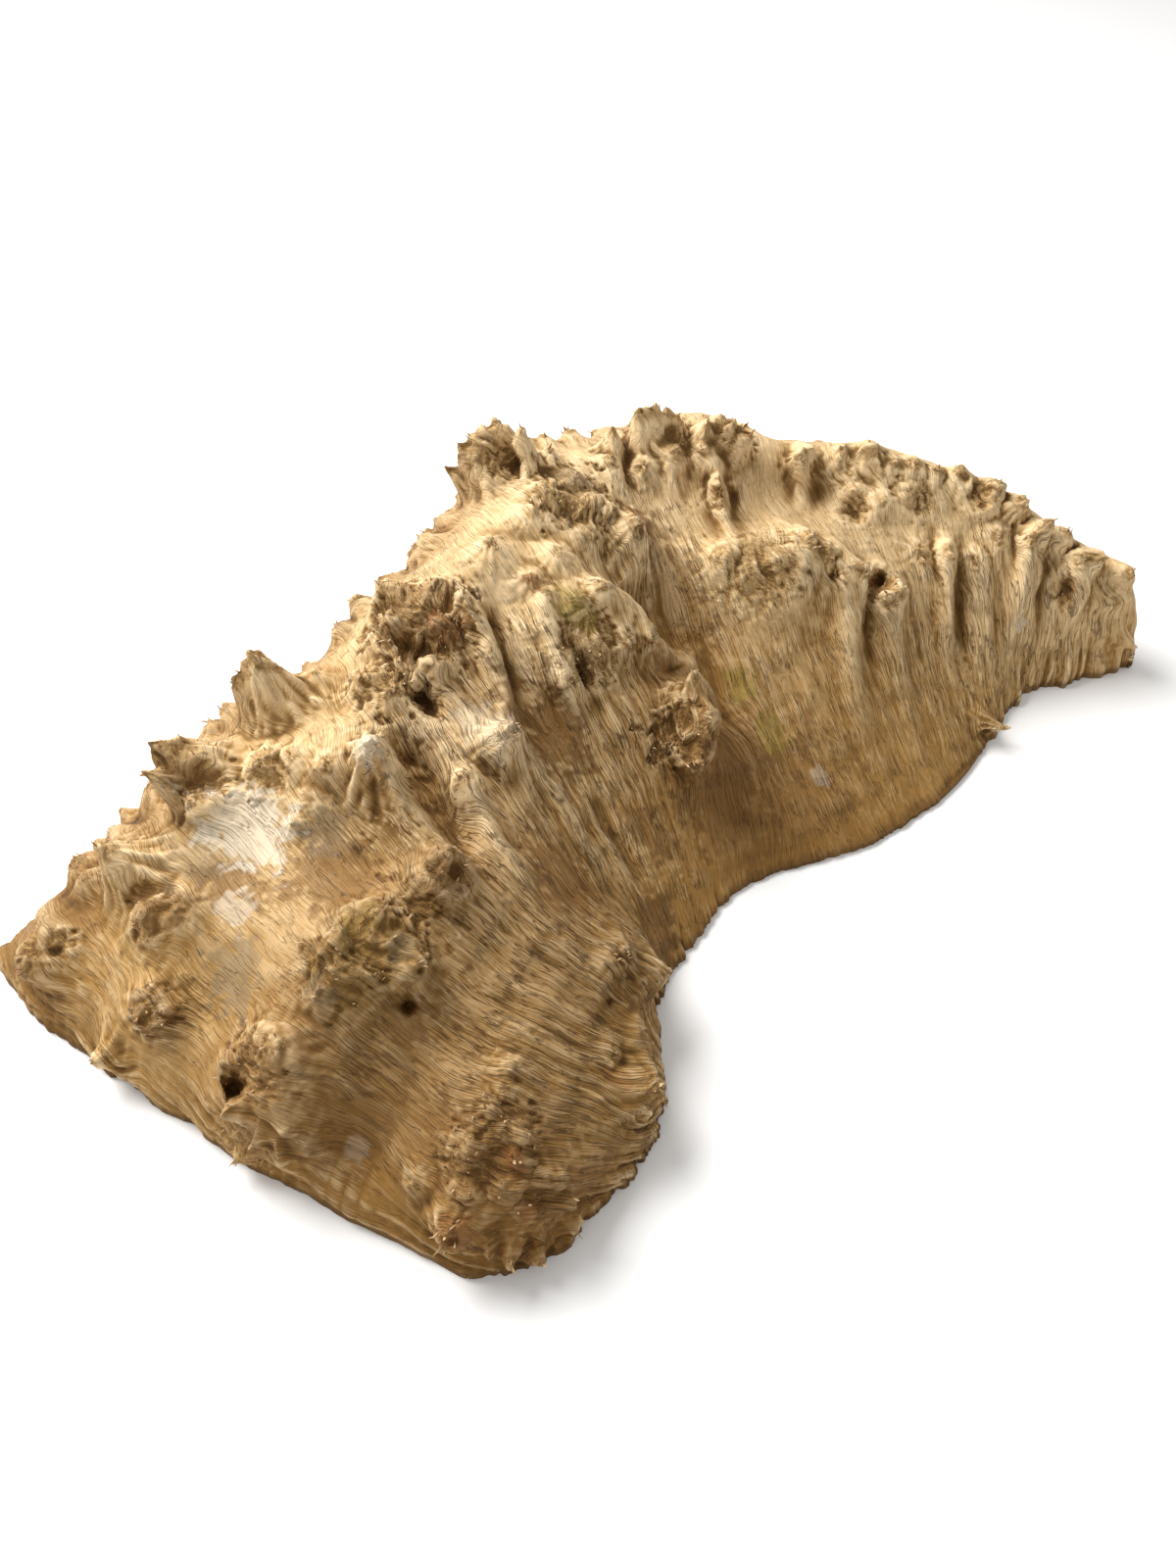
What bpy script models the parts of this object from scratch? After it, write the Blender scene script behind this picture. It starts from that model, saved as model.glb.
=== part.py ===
"""Burl cap: the gnarled outer skin sawn off a tree's burl, lying on its flat cut face.

The cap is one solid piece of wood. Its rim and crest are lofted through stations that run from
the near lobe to the far end. Swellings, ribs, knobs and spikes are then raised from the loft.
Each of them is placed by its pixel in the photograph's 1200 x 1600 frame, through the sighting
camera below. Sizes of the stations and of the raised features are in millimetres, and all other
lengths are in metres.
"""

from dataclasses import dataclass
import math

import bmesh
import bpy
from mathutils import Vector, noise
import numpy as np

# Driving dimensions
MM = 0.001
LIP = 2.5 * MM  # thin edge where the skin meets the saw cut
NEAR_ROUNDING = 60 * MM  # length over which the near end rises
FAR_ROUNDING = 14 * MM  # length over which the far end rises
RIM_FADE = 10 * MM  # width beside the rim that keeps the loft's outline
TURN = math.radians(-35.0)  # turns the surveyed cap until its length lies along +X
GRID_ALONG = 260  # rows of the skin from the near end to the far end
GRID_ACROSS = 120  # points of the skin in each row
SKIN_TRIANGLES = 10800  # triangles of the skin once its flat stretches are thinned out

# Weathered wood
WOOD_COLOUR = (0.47, 0.33, 0.19, 1.0)
WOOD_ROUGHNESS = 0.85

# Sighting camera, in the surveyed frame, above the near end and looking along +Y
EYE = np.array([0.0, 0.0, 0.400])
PITCH = math.radians(47.0)
FOCAL_PX = 1300.0
CENTRE_PX = (600.0, 800.0)
FORWARD = np.array([0.0, math.cos(PITCH), -math.sin(PITCH)])
UPWARD = np.array([0.0, math.sin(PITCH), math.cos(PITCH)])
RIGHT = np.array([1.0, 0.0, 0.0])


@dataclass(frozen=True)
class Station:
    """One cross-section of the loft, from the left foot over the crest to the right foot.

    The feet are plan points on the saw cut. crest_at is the crest's share of the way across,
    and crest its height. The two fullness values and the slope shape the flanks, and bow
    pushes the row outward.
    """

    left: tuple
    right: tuple
    crest_at: float
    crest: float
    left_fullness: float
    right_fullness: float
    right_slope: float
    bow: float

    def numbers(self):
        """The station's sizes in one row."""
        flanks = (self.left_fullness, self.right_fullness, self.right_slope)
        return [*self.left, *self.right, self.crest_at, self.crest, *flanks, self.bow]


@dataclass(frozen=True)
class Lump:
    """A broad swelling, or a hollow where its rise is negative."""

    photo: tuple
    rise: float
    spread: float


@dataclass(frozen=True)
class Eye:
    """A knot's eye: a ring-shaped ridge around a hollow."""

    photo: tuple
    radius: float
    ridge: float
    hollow: float


@dataclass(frozen=True)
class Seam:
    """A rib, or a valley where its rise is negative, along points of the photograph."""

    photo: tuple
    rise: float
    spread: float

    def route(self, skin):
        """Skin points that the rib passes through."""
        return [skin.points[skin.sight(pixel)] for pixel in self.photo]


@dataclass(frozen=True)
class Spur:
    """A knob or a spike with its apex at a photograph pixel.

    sharp runs from 0, a round knob, to 1, a thorn. tail stretches the foot down the grain.
    lean is how far the apex leans from its foot, in pixels.
    """

    photo: tuple
    rise: float
    spread: float
    sharp: float
    tail: float = 1.0
    lean: tuple = (0, 0)

    def aim(self, skin):
        """Finds the foot's place on the skin, and the apex on its line of sight."""
        base = (self.photo[0] - self.lean[0], self.photo[1] - self.lean[1])
        place = skin.sight(base, max(self.rise, 0.0) * MM)
        line = sight_line(self.photo)
        above = skin.points[place] + skin.normals[place] * self.rise * MM
        return place, EYE + line * ((above - EYE) @ line)


@dataclass(frozen=True)
class HiddenSpur:
    """A knob on the back, which the photograph hides, at shares along and across the skin."""

    share: tuple
    rise: float
    spread: float
    sharp: float
    tail: float

    def aim(self, skin):
        """Finds the foot's place on the skin, and the apex straight out of it."""
        place = skin.place_at(self.share)
        return place, skin.points[place] + skin.normals[place] * self.rise * MM


@dataclass(frozen=True)
class HiddenRib:
    """A rib or a valley down the back, from one share along and across the skin to another."""

    top: tuple
    bottom: tuple
    rise: float
    spread: float

    def route(self, skin):
        """Skin points that the rib passes through."""
        middle = ((self.top[0] + self.bottom[0]) / 2, (self.top[1] + self.bottom[1]) / 2)
        return [skin.points[skin.place_at(share)] for share in (self.top, middle, self.bottom)]


# Loft, from the near lobe to the far end
STATIONS = [
    Station((-222, 286), (-38, 160), 0.50, 46, 2.0, 2.2, 0.60, 15),
    Station((-208, 303), (-13, 166), 0.50, 50, 2.2, 2.2, 0.60, 10),
    Station((-190, 325), (11, 189), 0.45, 58, 2.2, 2.2, 0.60, 4),
    Station((-168, 354), (24, 213), 0.42, 66, 2.2, 2.1, 0.62, 2),
    Station((-140, 384), (26, 238), 0.38, 74, 2.2, 1.8, 0.70, 0),
    Station((-110, 412), (27, 262), 0.32, 84, 2.2, 1.5, 0.85, 0),
    Station((-82, 442), (38, 285), 0.28, 92, 2.2, 1.3, 0.95, 0),
    Station((-64, 474), (50, 305), 0.28, 96, 2.2, 1.25, 1.0, 0),
    Station((-48, 504), (68, 320), 0.28, 95, 2.2, 1.2, 1.05, 0),
    Station((-22, 526), (90, 329), 0.28, 92, 2.2, 1.2, 1.1, 0),
    Station((12, 538), (114, 338), 0.27, 90, 2.2, 1.2, 1.1, 0),
    Station((56, 541), (138, 354), 0.27, 86, 2.2, 1.2, 1.1, 0),
    Station((100, 536), (161, 375), 0.28, 82, 2.2, 1.2, 1.1, 0),
    Station((142, 524), (181, 404), 0.30, 75, 2.2, 1.3, 1.0, 0),
    Station((180, 506), (202, 430), 0.32, 65, 2.2, 1.5, 0.8, 0),
    Station((218, 484), (228, 438), 0.36, 51, 2.2, 1.8, 0.65, 0),
    Station((248, 466), (254, 448), 0.42, 42, 2.2, 2.2, 0.5, 0),
]

# Broad swellings and hollows
LUMPS = [
    Lump((350, 985), 10, 34),
    Lump((285, 1120), 12, 30),
    Lump((480, 1160), 9, 34),
    Lump((560, 1240), 5, 26),
    Lump((150, 940), 4, 26),
    Lump((150, 1035), 5, 20),
    Lump((230, 800), 8, 34),
    Lump((365, 780), 12, 28),
    Lump((290, 725), 10, 26),
    Lump((450, 885), 7, 20),
    Lump((640, 985), 8, 22),
    Lump((60, 965), 6, 22),
    Lump((400, 1130), -8, 30),
    Lump((220, 1000), -6, 30),
    Lump((240, 880), -5, 26),
    Lump((470, 1030), -5, 36),
    Lump((380, 870), -6, 28),
    Lump((350, 1180), -8, 20),
    Lump((430, 640), 10, 34),
    Lump((600, 640), 9, 34),
    Lump((690, 740), 12, 28),
    Lump((500, 760), 5, 26),
    Lump((560, 720), -5, 22),
    Lump((420, 780), -8, 20),
    Lump((490, 470), 8, 34),
    Lump((580, 530), 6, 34),
    Lump((670, 450), 8, 34),
    Lump((735, 450), 8, 28),
    Lump((790, 580), 12, 36),
    Lump((900, 600), 6, 24),
    Lump((890, 480), 6, 34),
    Lump((1000, 510), 6, 30),
    Lump((830, 500), -8, 22),
    Lump((760, 510), -6, 22),
    Lump((1050, 600), 5, 24),
]

# Ribs and valleys
SEAMS = [
    # the fold between the middle hump and the far slope
    Seam(((640, 590), (700, 650), (742, 725), (752, 790)), -17, 36),
    Seam(((590, 600), (640, 640), (690, 690), (712, 745), (702, 790), (680, 850)), 11, 24),
    # ribs and hollows down the middle hump
    Seam(((424, 682), (438, 712), (454, 740)), -8, 9),
    Seam(((404, 650), (424, 664), (446, 672)), -4, 7),
    Seam(((590, 660), (602, 690), (606, 712)), -4, 8),
    Seam(((462, 600), (488, 660), (508, 715), (532, 790)), 9, 14),
    Seam(((500, 610), (515, 650), (532, 700), (560, 770)), -7, 12),
    Seam(((545, 610), (562, 660), (578, 710), (600, 790)), 6, 12),
    Seam(((578, 640), (600, 690), (625, 750)), -4, 12),
    Seam(((560, 790), (590, 850), (625, 920)), 3, 14),
    Seam(((475, 800), (510, 870), (560, 940)), 3, 12),
    Seam(((600, 800), (640, 870), (665, 930)), -3, 12),
    Seam(((375, 765), (400, 800), (425, 845), (470, 910)), 8, 16),
    Seam(((405, 740), (440, 800), (480, 870), (520, 930)), -8, 17),
    # ribs down the far slope
    Seam(((640, 430), (640, 470), (650, 520)), -4, 9),
    Seam(((700, 430), (700, 480), (705, 530)), -4, 12),
    Seam(((728, 465), (735, 510), (750, 570)), 6, 10),
    Seam(((812, 455), (816, 490), (822, 530)), 7, 12),
    Seam(((845, 550), (858, 610), (868, 690), (885, 780)), 6, 16),
    Seam(((905, 590), (915, 660), (935, 750)), 4, 15),
    Seam(((965, 540), (962, 600), (968, 700)), 5, 13),
    Seam(((1000, 550), (1002, 620), (1004, 710)), 4, 13),
    Seam(((1050, 540), (1040, 600), (1022, 690)), 6, 13),
    Seam(((1098, 560), (1094, 610), (1082, 670)), 5, 12),
    Seam(((1074, 555), (1067, 610), (1058, 675)), -4, 10),
    Seam(((880, 580), (887, 640), (897, 720)), -4, 11),
    Seam(((982, 560), (983, 620), (987, 700)), -3, 9),
    # the flange on the right of the near lobe
    Seam(((645, 1030), (662, 1090), (660, 1140)), 5, 14),
]

# Eyes of knots
EYES = [
    Eye((430, 650), 12, 1.8, 1.1),
    Eye((385, 955), 13, 1.8, 0.8),
    Eye((255, 1098), 13, 1.8, 0.6),
    Eye((143, 1036), 7, 1.4, 0.8),
    Eye((60, 966), 6, 0.7, 0.6),
    Eye((508, 472), 10, 1.4, 1.1),
    Eye((775, 582), 16, 1.6, 0.7),
    Eye((900, 598), 9, 1.6, 1.1),
    Eye((205, 802), 9, 1.4, 0.7),
    Eye((276, 792), 9, 1.2, 0.6),
    Eye((605, 676), 9, 1.2, 0.7),
    Eye((590, 520), 12, 1.4, 0.8),
    Eye((1000, 506), 8, 1.4, 0.8),
    Eye((1092, 600), 8, 1.4, 0.8),
    Eye((505, 1186), 12, 1.4, 0.6),
    Eye((462, 886), 8, 1.4, 0.9),
    Eye((940, 510), 9, 1.3, 0.8),
    Eye((870, 520), 8, 1.4, 0.8),
    Eye((690, 452), 9, 1.1, 0.7),
    Eye((740, 506), 7, 1.1, 0.7),
    Eye((552, 1230), 8, 1.4, 0.7),
]

# Corner, prongs and hooks along the left edge of the near lobe
LEFT_EDGE_KNOBS = [
    Spur((18, 982), 8, 20, 0.6, lean=(-8, 0)),
    Spur((88, 1088), 7, 12, 0.7, lean=(-13, 5)),
    Spur((96, 862), 17, 15, 0.8, lean=(-10, -6)),
    Spur((137, 753), 23, 12, 0.5, lean=(-14, -4)),
    Spur((163, 739), 22, 13, 0.4, lean=(-10, -8)),
    Spur((139, 784), 18, 9, 0.8, lean=(-16, 0)),
    Spur((247, 650), 25, 13, 0.35, lean=(-10, -12)),
    Spur((234, 690), 14, 10, 0.6, lean=(-10, -4)),
    Spur((284, 684), 12, 10, 0.8, lean=(0, -6)),
    Spur((316, 683), 6, 8, 0.6),
]

# Top of the near lobe, from the left prongs to the cream-tipped horn
NEAR_CROWN_KNOBS = [
    Spur((198, 775), 8, 12, 0.5, lean=(-4, -4)),
    Spur((196, 815), 7, 11, 0.4, lean=(-6, 4)),
    Spur((264, 775), 6, 12, 0.5),
    Spur((295, 770), 5, 11, 0.5),
    Spur((373, 754), 18, 15, 0.35, tail=2.2, lean=(-6, -8)),
    Spur((330, 778), 6, 11, 0.6),
    Spur((312, 820), 4, 9, 0.6),
    Spur((296, 838), 5, 6, 0.5),
    Spur((455, 872), 11, 13, 0.4, lean=(6, -2)),
    Spur((466, 792), 9, 11, 0.6, lean=(6, -2)),
    Spur((141, 930), 8, 12, 0.4, lean=(-4, -2)),
    Spur((146, 957), 4, 7, 0.4, lean=(-4, 2)),
    Spur((143, 1032), 7, 12, 0.4, lean=(-8, 2)),
    Spur((180, 925), 5, 12, 0.3),
]

# The big mound on the near lobe and its ring of eyes
MOUND_KNOBS = [
    Spur((324, 970), 5, 10, 0.4, lean=(-2, -2)),
    Spur((347, 955), 5, 10, 0.4),
    Spur((385, 930), 8, 14, 0.4, lean=(0, -3)),
    Spur((402, 955), 6, 10, 0.4),
    Spur((427, 978), 6, 10, 0.4, lean=(4, 0)),
    Spur((322, 1015), 4, 10, 0.4, lean=(-4, 0)),
    Spur((370, 990), 4, 9, 0.4),
    Spur((343, 992), 4, 9, 0.3),
]

# The mound with the borer hole, down to the near edge
HOLED_MOUND_KNOBS = [
    Spur((272, 1068), 7, 14, 0.3, lean=(0, -2)),
    Spur((228, 1086), 4, 9, 0.3),
    Spur((225, 1140), 5, 10, 0.3, lean=(-4, 2)),
    Spur((240, 1188), 4, 11, 0.1, lean=(-4, 5)),
    Spur((256, 1172), 4, 9, 0.2),
    Spur((284, 1190), 3, 10, 0.1, lean=(0, 4)),
    Spur((312, 1180), 3, 10, 0.1, lean=(1, 2)),
    Spur((288, 1162), 4, 8, 0.4),
    Spur((478, 1172), 5, 13, 0.3),
]

# The crumbly foot and the right flange of the near lobe
NEAR_FOOT_KNOBS = [
    Spur((500, 1130), 5, 9, 0.4),
    Spur((512, 1152), 4, 8, 0.4),
    Spur((534, 1157), 5, 7, 0.5),
    Spur((525, 1186), 5, 7, 0.4),
    Spur((501, 1168), 4, 6, 0.4),
    Spur((512, 1212), 4, 8, 0.4),
    Spur((521, 1088), 4, 8, 0.5),
    Spur((518, 1107), 4, 7, 0.5),
    Spur((472, 1222), 5, 9, 0.3),
    Spur((418, 1208), 4, 9, 0.3),
    Spur((450, 1278), 10, 15, 0.1, lean=(-6, 10)),
    Spur((474, 1262), 6, 9, 0.4),
    Spur((521, 1296), 7, 12, 0.1, lean=(0, 8)),
    Spur((557, 1298), 7, 11, 0.3, lean=(2, 9)),
    Spur((498, 1288), 6, 10, 0.4, lean=(0, 6)),
    Spur((571, 1204), 5, 8, 0.5),
    Spur((588, 1230), 5, 8, 0.5, lean=(3, 0)),
    Spur((546, 1240), 4, 6, 0.7),
    Spur((557, 1268), 5, 7, 0.6),
    Spur((596, 1262), 4, 10, 0.3),
    Spur((639, 970), 6, 12, 0.2),
    Spur((630, 1075), 4, 8, 0.5),
    Spur((686, 990), 6, 14, 0.1, lean=(6, 0)),
    Spur((680, 1115), 9, 16, 0.1, lean=(10, 4)),
]

# Crest and shoulder of the middle hump
MIDDLE_CREST_KNOBS = [
    Spur((404, 592), 8, 10, 0.4, lean=(-2, -4)),
    Spur((385, 592), 9, 12, 0.3, lean=(-6, -4)),
    Spur((438, 590), 8, 12, 0.4, lean=(0, -4)),
    Spur((422, 606), 6, 10, 0.4),
    Spur((452, 636), 6, 9, 0.5),
    Spur((430, 643), 5, 9, 0.5),
    Spur((392, 630), 6, 11, 0.4),
    Spur((440, 676), 7, 9, 0.6),
    Spur((364, 688), 8, 11, 0.5, lean=(-4, 0)),
    Spur((395, 705), 6, 10, 0.5),
    Spur((428, 700), 8, 9, 0.7),
    Spur((470, 606), 9, 11, 0.6, tail=2.5),
    Spur((526, 741), 12, 11, 0.55, tail=1.3, lean=(6, 0)),
    Spur((543, 588), 6, 10, 0.5),
    Spur((560, 600), 4, 10, 0.4),
    Spur((590, 612), 4, 12, 0.3),
    Spur((616, 594), 7, 10, 0.5),
    Spur((600, 668), 4, 12, 0.2),
    Spur((646, 655), 6, 10, 0.4),
    Spur((665, 655), 6, 9, 0.5),
    Spur((707, 679), 18, 13, 0.7, lean=(12, -2)),
    Spur((690, 700), 6, 10, 0.4),
    Spur((724, 724), 12, 12, 0.4, lean=(8, 0)),
    Spur((722, 750), 10, 11, 0.4, lean=(6, 0)),
    Spur((700, 756), 4, 9, 0.3),
    Spur((716, 776), 10, 11, 0.4, lean=(8, 2)),
    Spur((500, 660), 4, 8, 0.5),
    Spur((575, 700), 5, 10, 0.4),
]

# Shoulder and crown where the far part begins
FAR_SHOULDER_KNOBS = [
    Spur((450, 474), 14, 8, 0.7, lean=(-8, -2)),
    Spur((460, 452), 18, 10, 0.4, lean=(-8, -4)),
    Spur((482, 432), 20, 13, 0.25, lean=(-4, -8)),
    Spur((505, 427), 19, 12, 0.4, lean=(0, -8)),
    Spur((531, 433), 17, 8, 0.8, lean=(0, -8)),
    Spur((562, 452), 7, 7, 0.7, lean=(0, -4)),
    Spur((500, 549), 6, 9, 0.7, tail=2.0),
    Spur((553, 500), 5, 12, 0.3),
    Spur((543, 520), 4, 10, 0.3),
    Spur((589, 484), 5, 9, 0.4),
    Spur((604, 507), 5, 10, 0.4),
    Spur((654, 528), 11, 11, 0.5, tail=1.8, lean=(4, -3)),
    Spur((600, 545), 4, 10, 0.4),
    Spur((570, 560), 4, 10, 0.4),
    Spur((626, 520), 5, 9, 0.4),
    Spur((626, 432), 11, 9, 0.7, lean=(-2, -6)),
    Spur((650, 411), 16, 10, 0.5, lean=(0, -8)),
    Spur((670, 407), 17, 9, 0.7, lean=(0, -8)),
    Spur((680, 410), 14, 8, 0.7, lean=(0, -6)),
    Spur((694, 423), 9, 7, 0.8, lean=(0, -5)),
    Spur((724, 417), 15, 8, 0.9, lean=(0, -8)),
    Spur((736, 419), 13, 8, 0.6, lean=(0, -6)),
    Spur((752, 422), 15, 8, 0.6, lean=(2, -8)),
    Spur((764, 428), 15, 7, 0.9, lean=(3, -8)),
    Spur((770, 440), 15, 8, 0.6, lean=(6, -6)),
    Spur((655, 474), 6, 10, 0.4),
    Spur((624, 464), 6, 9, 0.6, tail=2.0),
    Spur((690, 455), 7, 10, 0.5, tail=2),
    Spur((732, 492), 7, 9, 0.6, tail=2.2),
    Spur((717, 452), 7, 9, 0.5, tail=2),
    Spur((738, 566), 5, 13, 0.2),
    Spur((762, 580), 4, 12, 0.2),
    Spur((795, 570), 5, 9, 0.5),
    Spur((832, 544), 10, 13, 0.4, tail=2.0, lean=(2, -4)),
    Spur((848, 556), 9, 10, 0.5, tail=2.5, lean=(4, -3)),
    Spur((855, 580), 7, 8, 0.6, tail=3),
    Spur((884, 578), 6, 9, 0.5, tail=2),
    Spur((908, 610), 7, 10, 0.3, tail=1.5),
]

# Top of the far slope, behind its big eye
FAR_TOP_KNOBS = [
    Spur((920, 598), 6, 8, 0.5, tail=2),
    Spur((815, 455), 12, 9, 0.6, tail=2.0, lean=(0, -4)),
    Spur((835, 455), 8, 8, 0.6, lean=(0, -3)),
    Spur((862, 456), 7, 9, 0.4),
    Spur((890, 452), 8, 12, 0.2, lean=(0, -2)),
    Spur((914, 470), 6, 9, 0.4),
    Spur((936, 470), 6, 10, 0.3),
    Spur((960, 478), 5, 8, 0.4),
    Spur((984, 477), 7, 10, 0.3),
]

# Crest of the far part, out to its blunt end
FAR_CREST_KNOBS = [
    Spur((1021, 492), 7, 9, 0.4, lean=(2, -2)),
    Spur((1048, 510), 8, 9, 0.4, lean=(4, -2)),
    Spur((870, 500), 4, 9, 0.4),
    Spur((900, 510), 4, 9, 0.4),
    Spur((935, 500), 4, 9, 0.4),
    Spur((1010, 515), 4, 9, 0.4),
    Spur((968, 556), 7, 9, 0.5, tail=2.5),
    Spur((994, 570), 5, 8, 0.5, tail=2.5),
    Spur((1052, 546), 7, 9, 0.5, tail=2.5),
    Spur((1080, 527), 11, 9, 0.5, lean=(2, -5)),
    Spur((1092, 540), 9, 8, 0.5, lean=(3, -3)),
    Spur((1100, 565), 9, 8, 0.5, tail=2.5, lean=(2, -2)),
    Spur((1132, 566), 9, 9, 0.4, lean=(2, -5)),
    Spur((1158, 582), 8, 9, 0.4, lean=(5, -4)),
    Spur((1141, 614), 4, 9, 0.4),
    Spur((1020, 545), 4, 9, 0.4, tail=2),
    Spur((940, 560), 5, 9, 0.4, tail=2.5),
    Spur((1032, 743), 9, 8, 0.8, lean=(10, 4)),
    Spur((1160, 660), 6, 9, 0.3, lean=(5, 2)),
]

# Borer holes and hollow eyes
PITS = [
    Spur((237, 1112), -16, 8.5, 0.0),
    Spur((415, 1027), -8, 4.5, 0.1),
    Spur((59, 970), -2.5, 3, 0.2),
    Spur((77, 952), -2, 2.5, 0.2),
    Spur((899, 594), -9, 6, 0.2),
    Spur((528, 476), -8, 7, 0.1),
    Spur((526, 744), -3, 2.5, 0.2),
    Spur((850, 588), -5, 6, 0.3),
    Spur((985, 489), -3, 5, 0.2),
    Spur((1003, 516), -2.5, 4, 0.2),
    Spur((871, 525), -2.5, 7, 0.2),
    Spur((143, 1040), -3, 5, 0.2),
    Spur((462, 888), -5, 6, 0.2),
    Spur((621, 1022), -2, 3, 0.2),
    Spur((747, 507), -4, 8, 0.2),
    Spur((1092, 600), -2, 6, 0.2),
    Spur((463, 1268), -3, 5, 0.2),
]

SPURS = (
    LEFT_EDGE_KNOBS
    + NEAR_CROWN_KNOBS
    + MOUND_KNOBS
    + HOLED_MOUND_KNOBS
    + NEAR_FOOT_KNOBS
    + MIDDLE_CREST_KNOBS
    + FAR_SHOULDER_KNOBS
    + FAR_TOP_KNOBS
    + FAR_CREST_KNOBS
)
EVEN_PART = 0.65  # share of a row's points that is spread evenly, the rest crowds to its feet
LEFT_STEEPNESS = 0.53  # power of the left flank's fall
NEAR_CURVE = (2.0, 1.6)  # power and root of the near end's rise
FAR_CURVE = (2.2, 2.2)  # power and root of the far end's rise
BOW_SKEW = 0.6  # draws a bowed row's bulge towards its left foot
SKIRT_PART = (0.34, 0.14)  # height share of a spur's skirt, for a round knob and added for a thorn
CORE_WIDTH = (0.36, -0.15)  # width of a spur's core, for a round knob and added for a thorn
CORE_POWER = (2.2, -0.9)  # how square a spur's core is, for a round knob and added for a thorn
LUMP_FALL = 1.5  # how soon a lump falls away from its middle
EYE_WIDTHS = (0.4, 0.62)  # widths of an eye's ridge and hollow, as shares of its radius
SEAM_TAPERS = (0.25, 0.5)  # shares of a rib over which its upper and lower ends fade
DEPTH_MISS = 60  # pixels of miss for each metre that a place lies farther from the eye
HIDDEN_MISS = 1000  # pixels of miss for a place that faces away from the eye
FACING = (2.0, 0.6)  # slope and start of the fade where the skin turns away from a spur's foot
RIM_TIGHTNESS = 1.2  # how much narrower a spur is where it crosses the rim
SPUR_FLARE = 1.9  # how much wider a spur's skirt is than its spread
PIT_FLARE = 1.3
UPHILL = 0.3  # a grain that rises more than this is followed backwards, down the back
UNEVENNESS = 1.8 * MM  # height of the bumps all over the skin
BUMPS = (  # width, share of the height and shift of each size of bump
    (40 * MM, 1.0, (0.0, 0.0, 0.0)),
    (17 * MM, 0.5, (5.0, 2.0, 9.0)),
    (8 * MM, 0.3, (1.0, 8.0, 3.0)),
)
BACK_SEED = 11
BACK_RIBS = 22
BACK_RIB_RISES = (2.5, 5.0)
BACK_RIB_SPREADS = (10, 16)
BACK_RIB_TOPS = (0.16, 0.24)
BACK_RIB_FEET = (0.01, 0.06)
BACK_CLUSTERS = 26
BACK_KNOB_RISE = 10
BACK_KNOB_SPREAD = 12
BACK_KNOB_SIZES = (0.6, 1.0)
BACK_KNOB_TAIL = 1.6


def project(points):
    """Pixels and depth of points seen by the sighting camera."""
    offset = points - EYE
    depth = offset @ FORWARD
    across = CENTRE_PX[0] + FOCAL_PX * (offset @ RIGHT) / depth
    down = CENTRE_PX[1] - FOCAL_PX * (offset @ UPWARD) / depth
    return across, down, depth


def sight_line(pixel):
    """Unit direction from the sighting camera through a pixel."""
    across = (pixel[0] - CENTRE_PX[0]) / FOCAL_PX
    up = (CENTRE_PX[1] - pixel[1]) / FOCAL_PX
    direction = FORWARD + RIGHT * across + UPWARD * up
    return direction / np.linalg.norm(direction)


def through_stations(rows, share):
    """Smooth values at shares 0 to 1 of the way along rows, as a Catmull-Rom curve."""
    place = share * (len(rows) - 1)
    first = np.minimum(place.astype(int), len(rows) - 2)
    step = (place - first)[:, None]
    before = rows[np.maximum(first - 1, 0)]
    start = rows[first]
    end = rows[first + 1]
    after = rows[np.minimum(first + 2, len(rows) - 1)]
    bend = 2 * before - 5 * start + 4 * end - after
    turn = 3 * (start - end) + after - before
    return start + 0.5 * step * (end - before + step * (bend + step * turn))


def rounded(share, power, root):
    """Rises from 0 at share 0 to 1 at share 1, steep at first."""
    return (1 - (1 - np.clip(share, 0, 1)) ** power) ** (1 / root)


def loft(rows, points_across):
    """Grid of skin points through the stations, before anything is raised from it."""
    numbers = np.array([station.numbers() for station in STATIONS], float)
    values = through_stations(numbers, np.linspace(0, 1, rows))
    left = values[:, 0:2] * MM
    right = values[:, 2:4] * MM
    crest_at, crest, left_fullness, right_fullness, right_slope, bow = np.split(values[:, 4:], 6, axis=1)
    even = np.linspace(0, 1, points_across)[None, :]
    share = EVEN_PART * even + (1 - EVEN_PART) * (0.5 - 0.5 * np.cos(np.pi * even))
    left_way = np.clip((crest_at - share) / crest_at, 0, 1)
    right_way = np.clip((share - crest_at) / (1 - crest_at), 0, 1)
    flanks = (1 - left_way**left_fullness) ** LEFT_STEEPNESS * (1 - right_way**right_fullness) ** right_slope
    middle = (left + right) / 2
    steps = np.linalg.norm(np.diff(middle, axis=0), axis=1)
    along = np.concatenate([[0], np.cumsum(steps)])[:, None]
    near = rounded(along / NEAR_ROUNDING, *NEAR_CURVE)
    far = rounded((along[-1] - along) / FAR_ROUNDING, *FAR_CURVE)
    across = right - left
    outward = np.stack([across[:, 1], -across[:, 0]], axis=1) / np.linalg.norm(across, axis=1, keepdims=True)
    plan = left[:, None] * (1 - share[..., None]) + right[:, None] * share[..., None]
    bulge = share**BOW_SKEW
    plan = plan + outward[:, None] * (bow * MM * 4 * bulge * (1 - bulge))[..., None]
    height = LIP + crest * MM * flanks * near * far
    return np.concatenate([plan, height[..., None]], axis=2)


def peak(distance, sharp):
    """Height share of a spur: 1 at its apex, 0 from distance 1 on, with a wide low skirt."""
    distance = np.clip(distance, 0, 1)
    skirt = ((1 - distance) ** 2 * (1 + 2 * distance)) ** 2
    width = CORE_WIDTH[0] + CORE_WIDTH[1] * sharp
    power = CORE_POWER[0] + CORE_POWER[1] * sharp
    core = np.exp(-((distance / width) ** power)) * (1 - distance**4)
    skirt_part = SKIRT_PART[0] + SKIRT_PART[1] * sharp
    return skirt_part * skirt + (1 - skirt_part) * core


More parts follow.
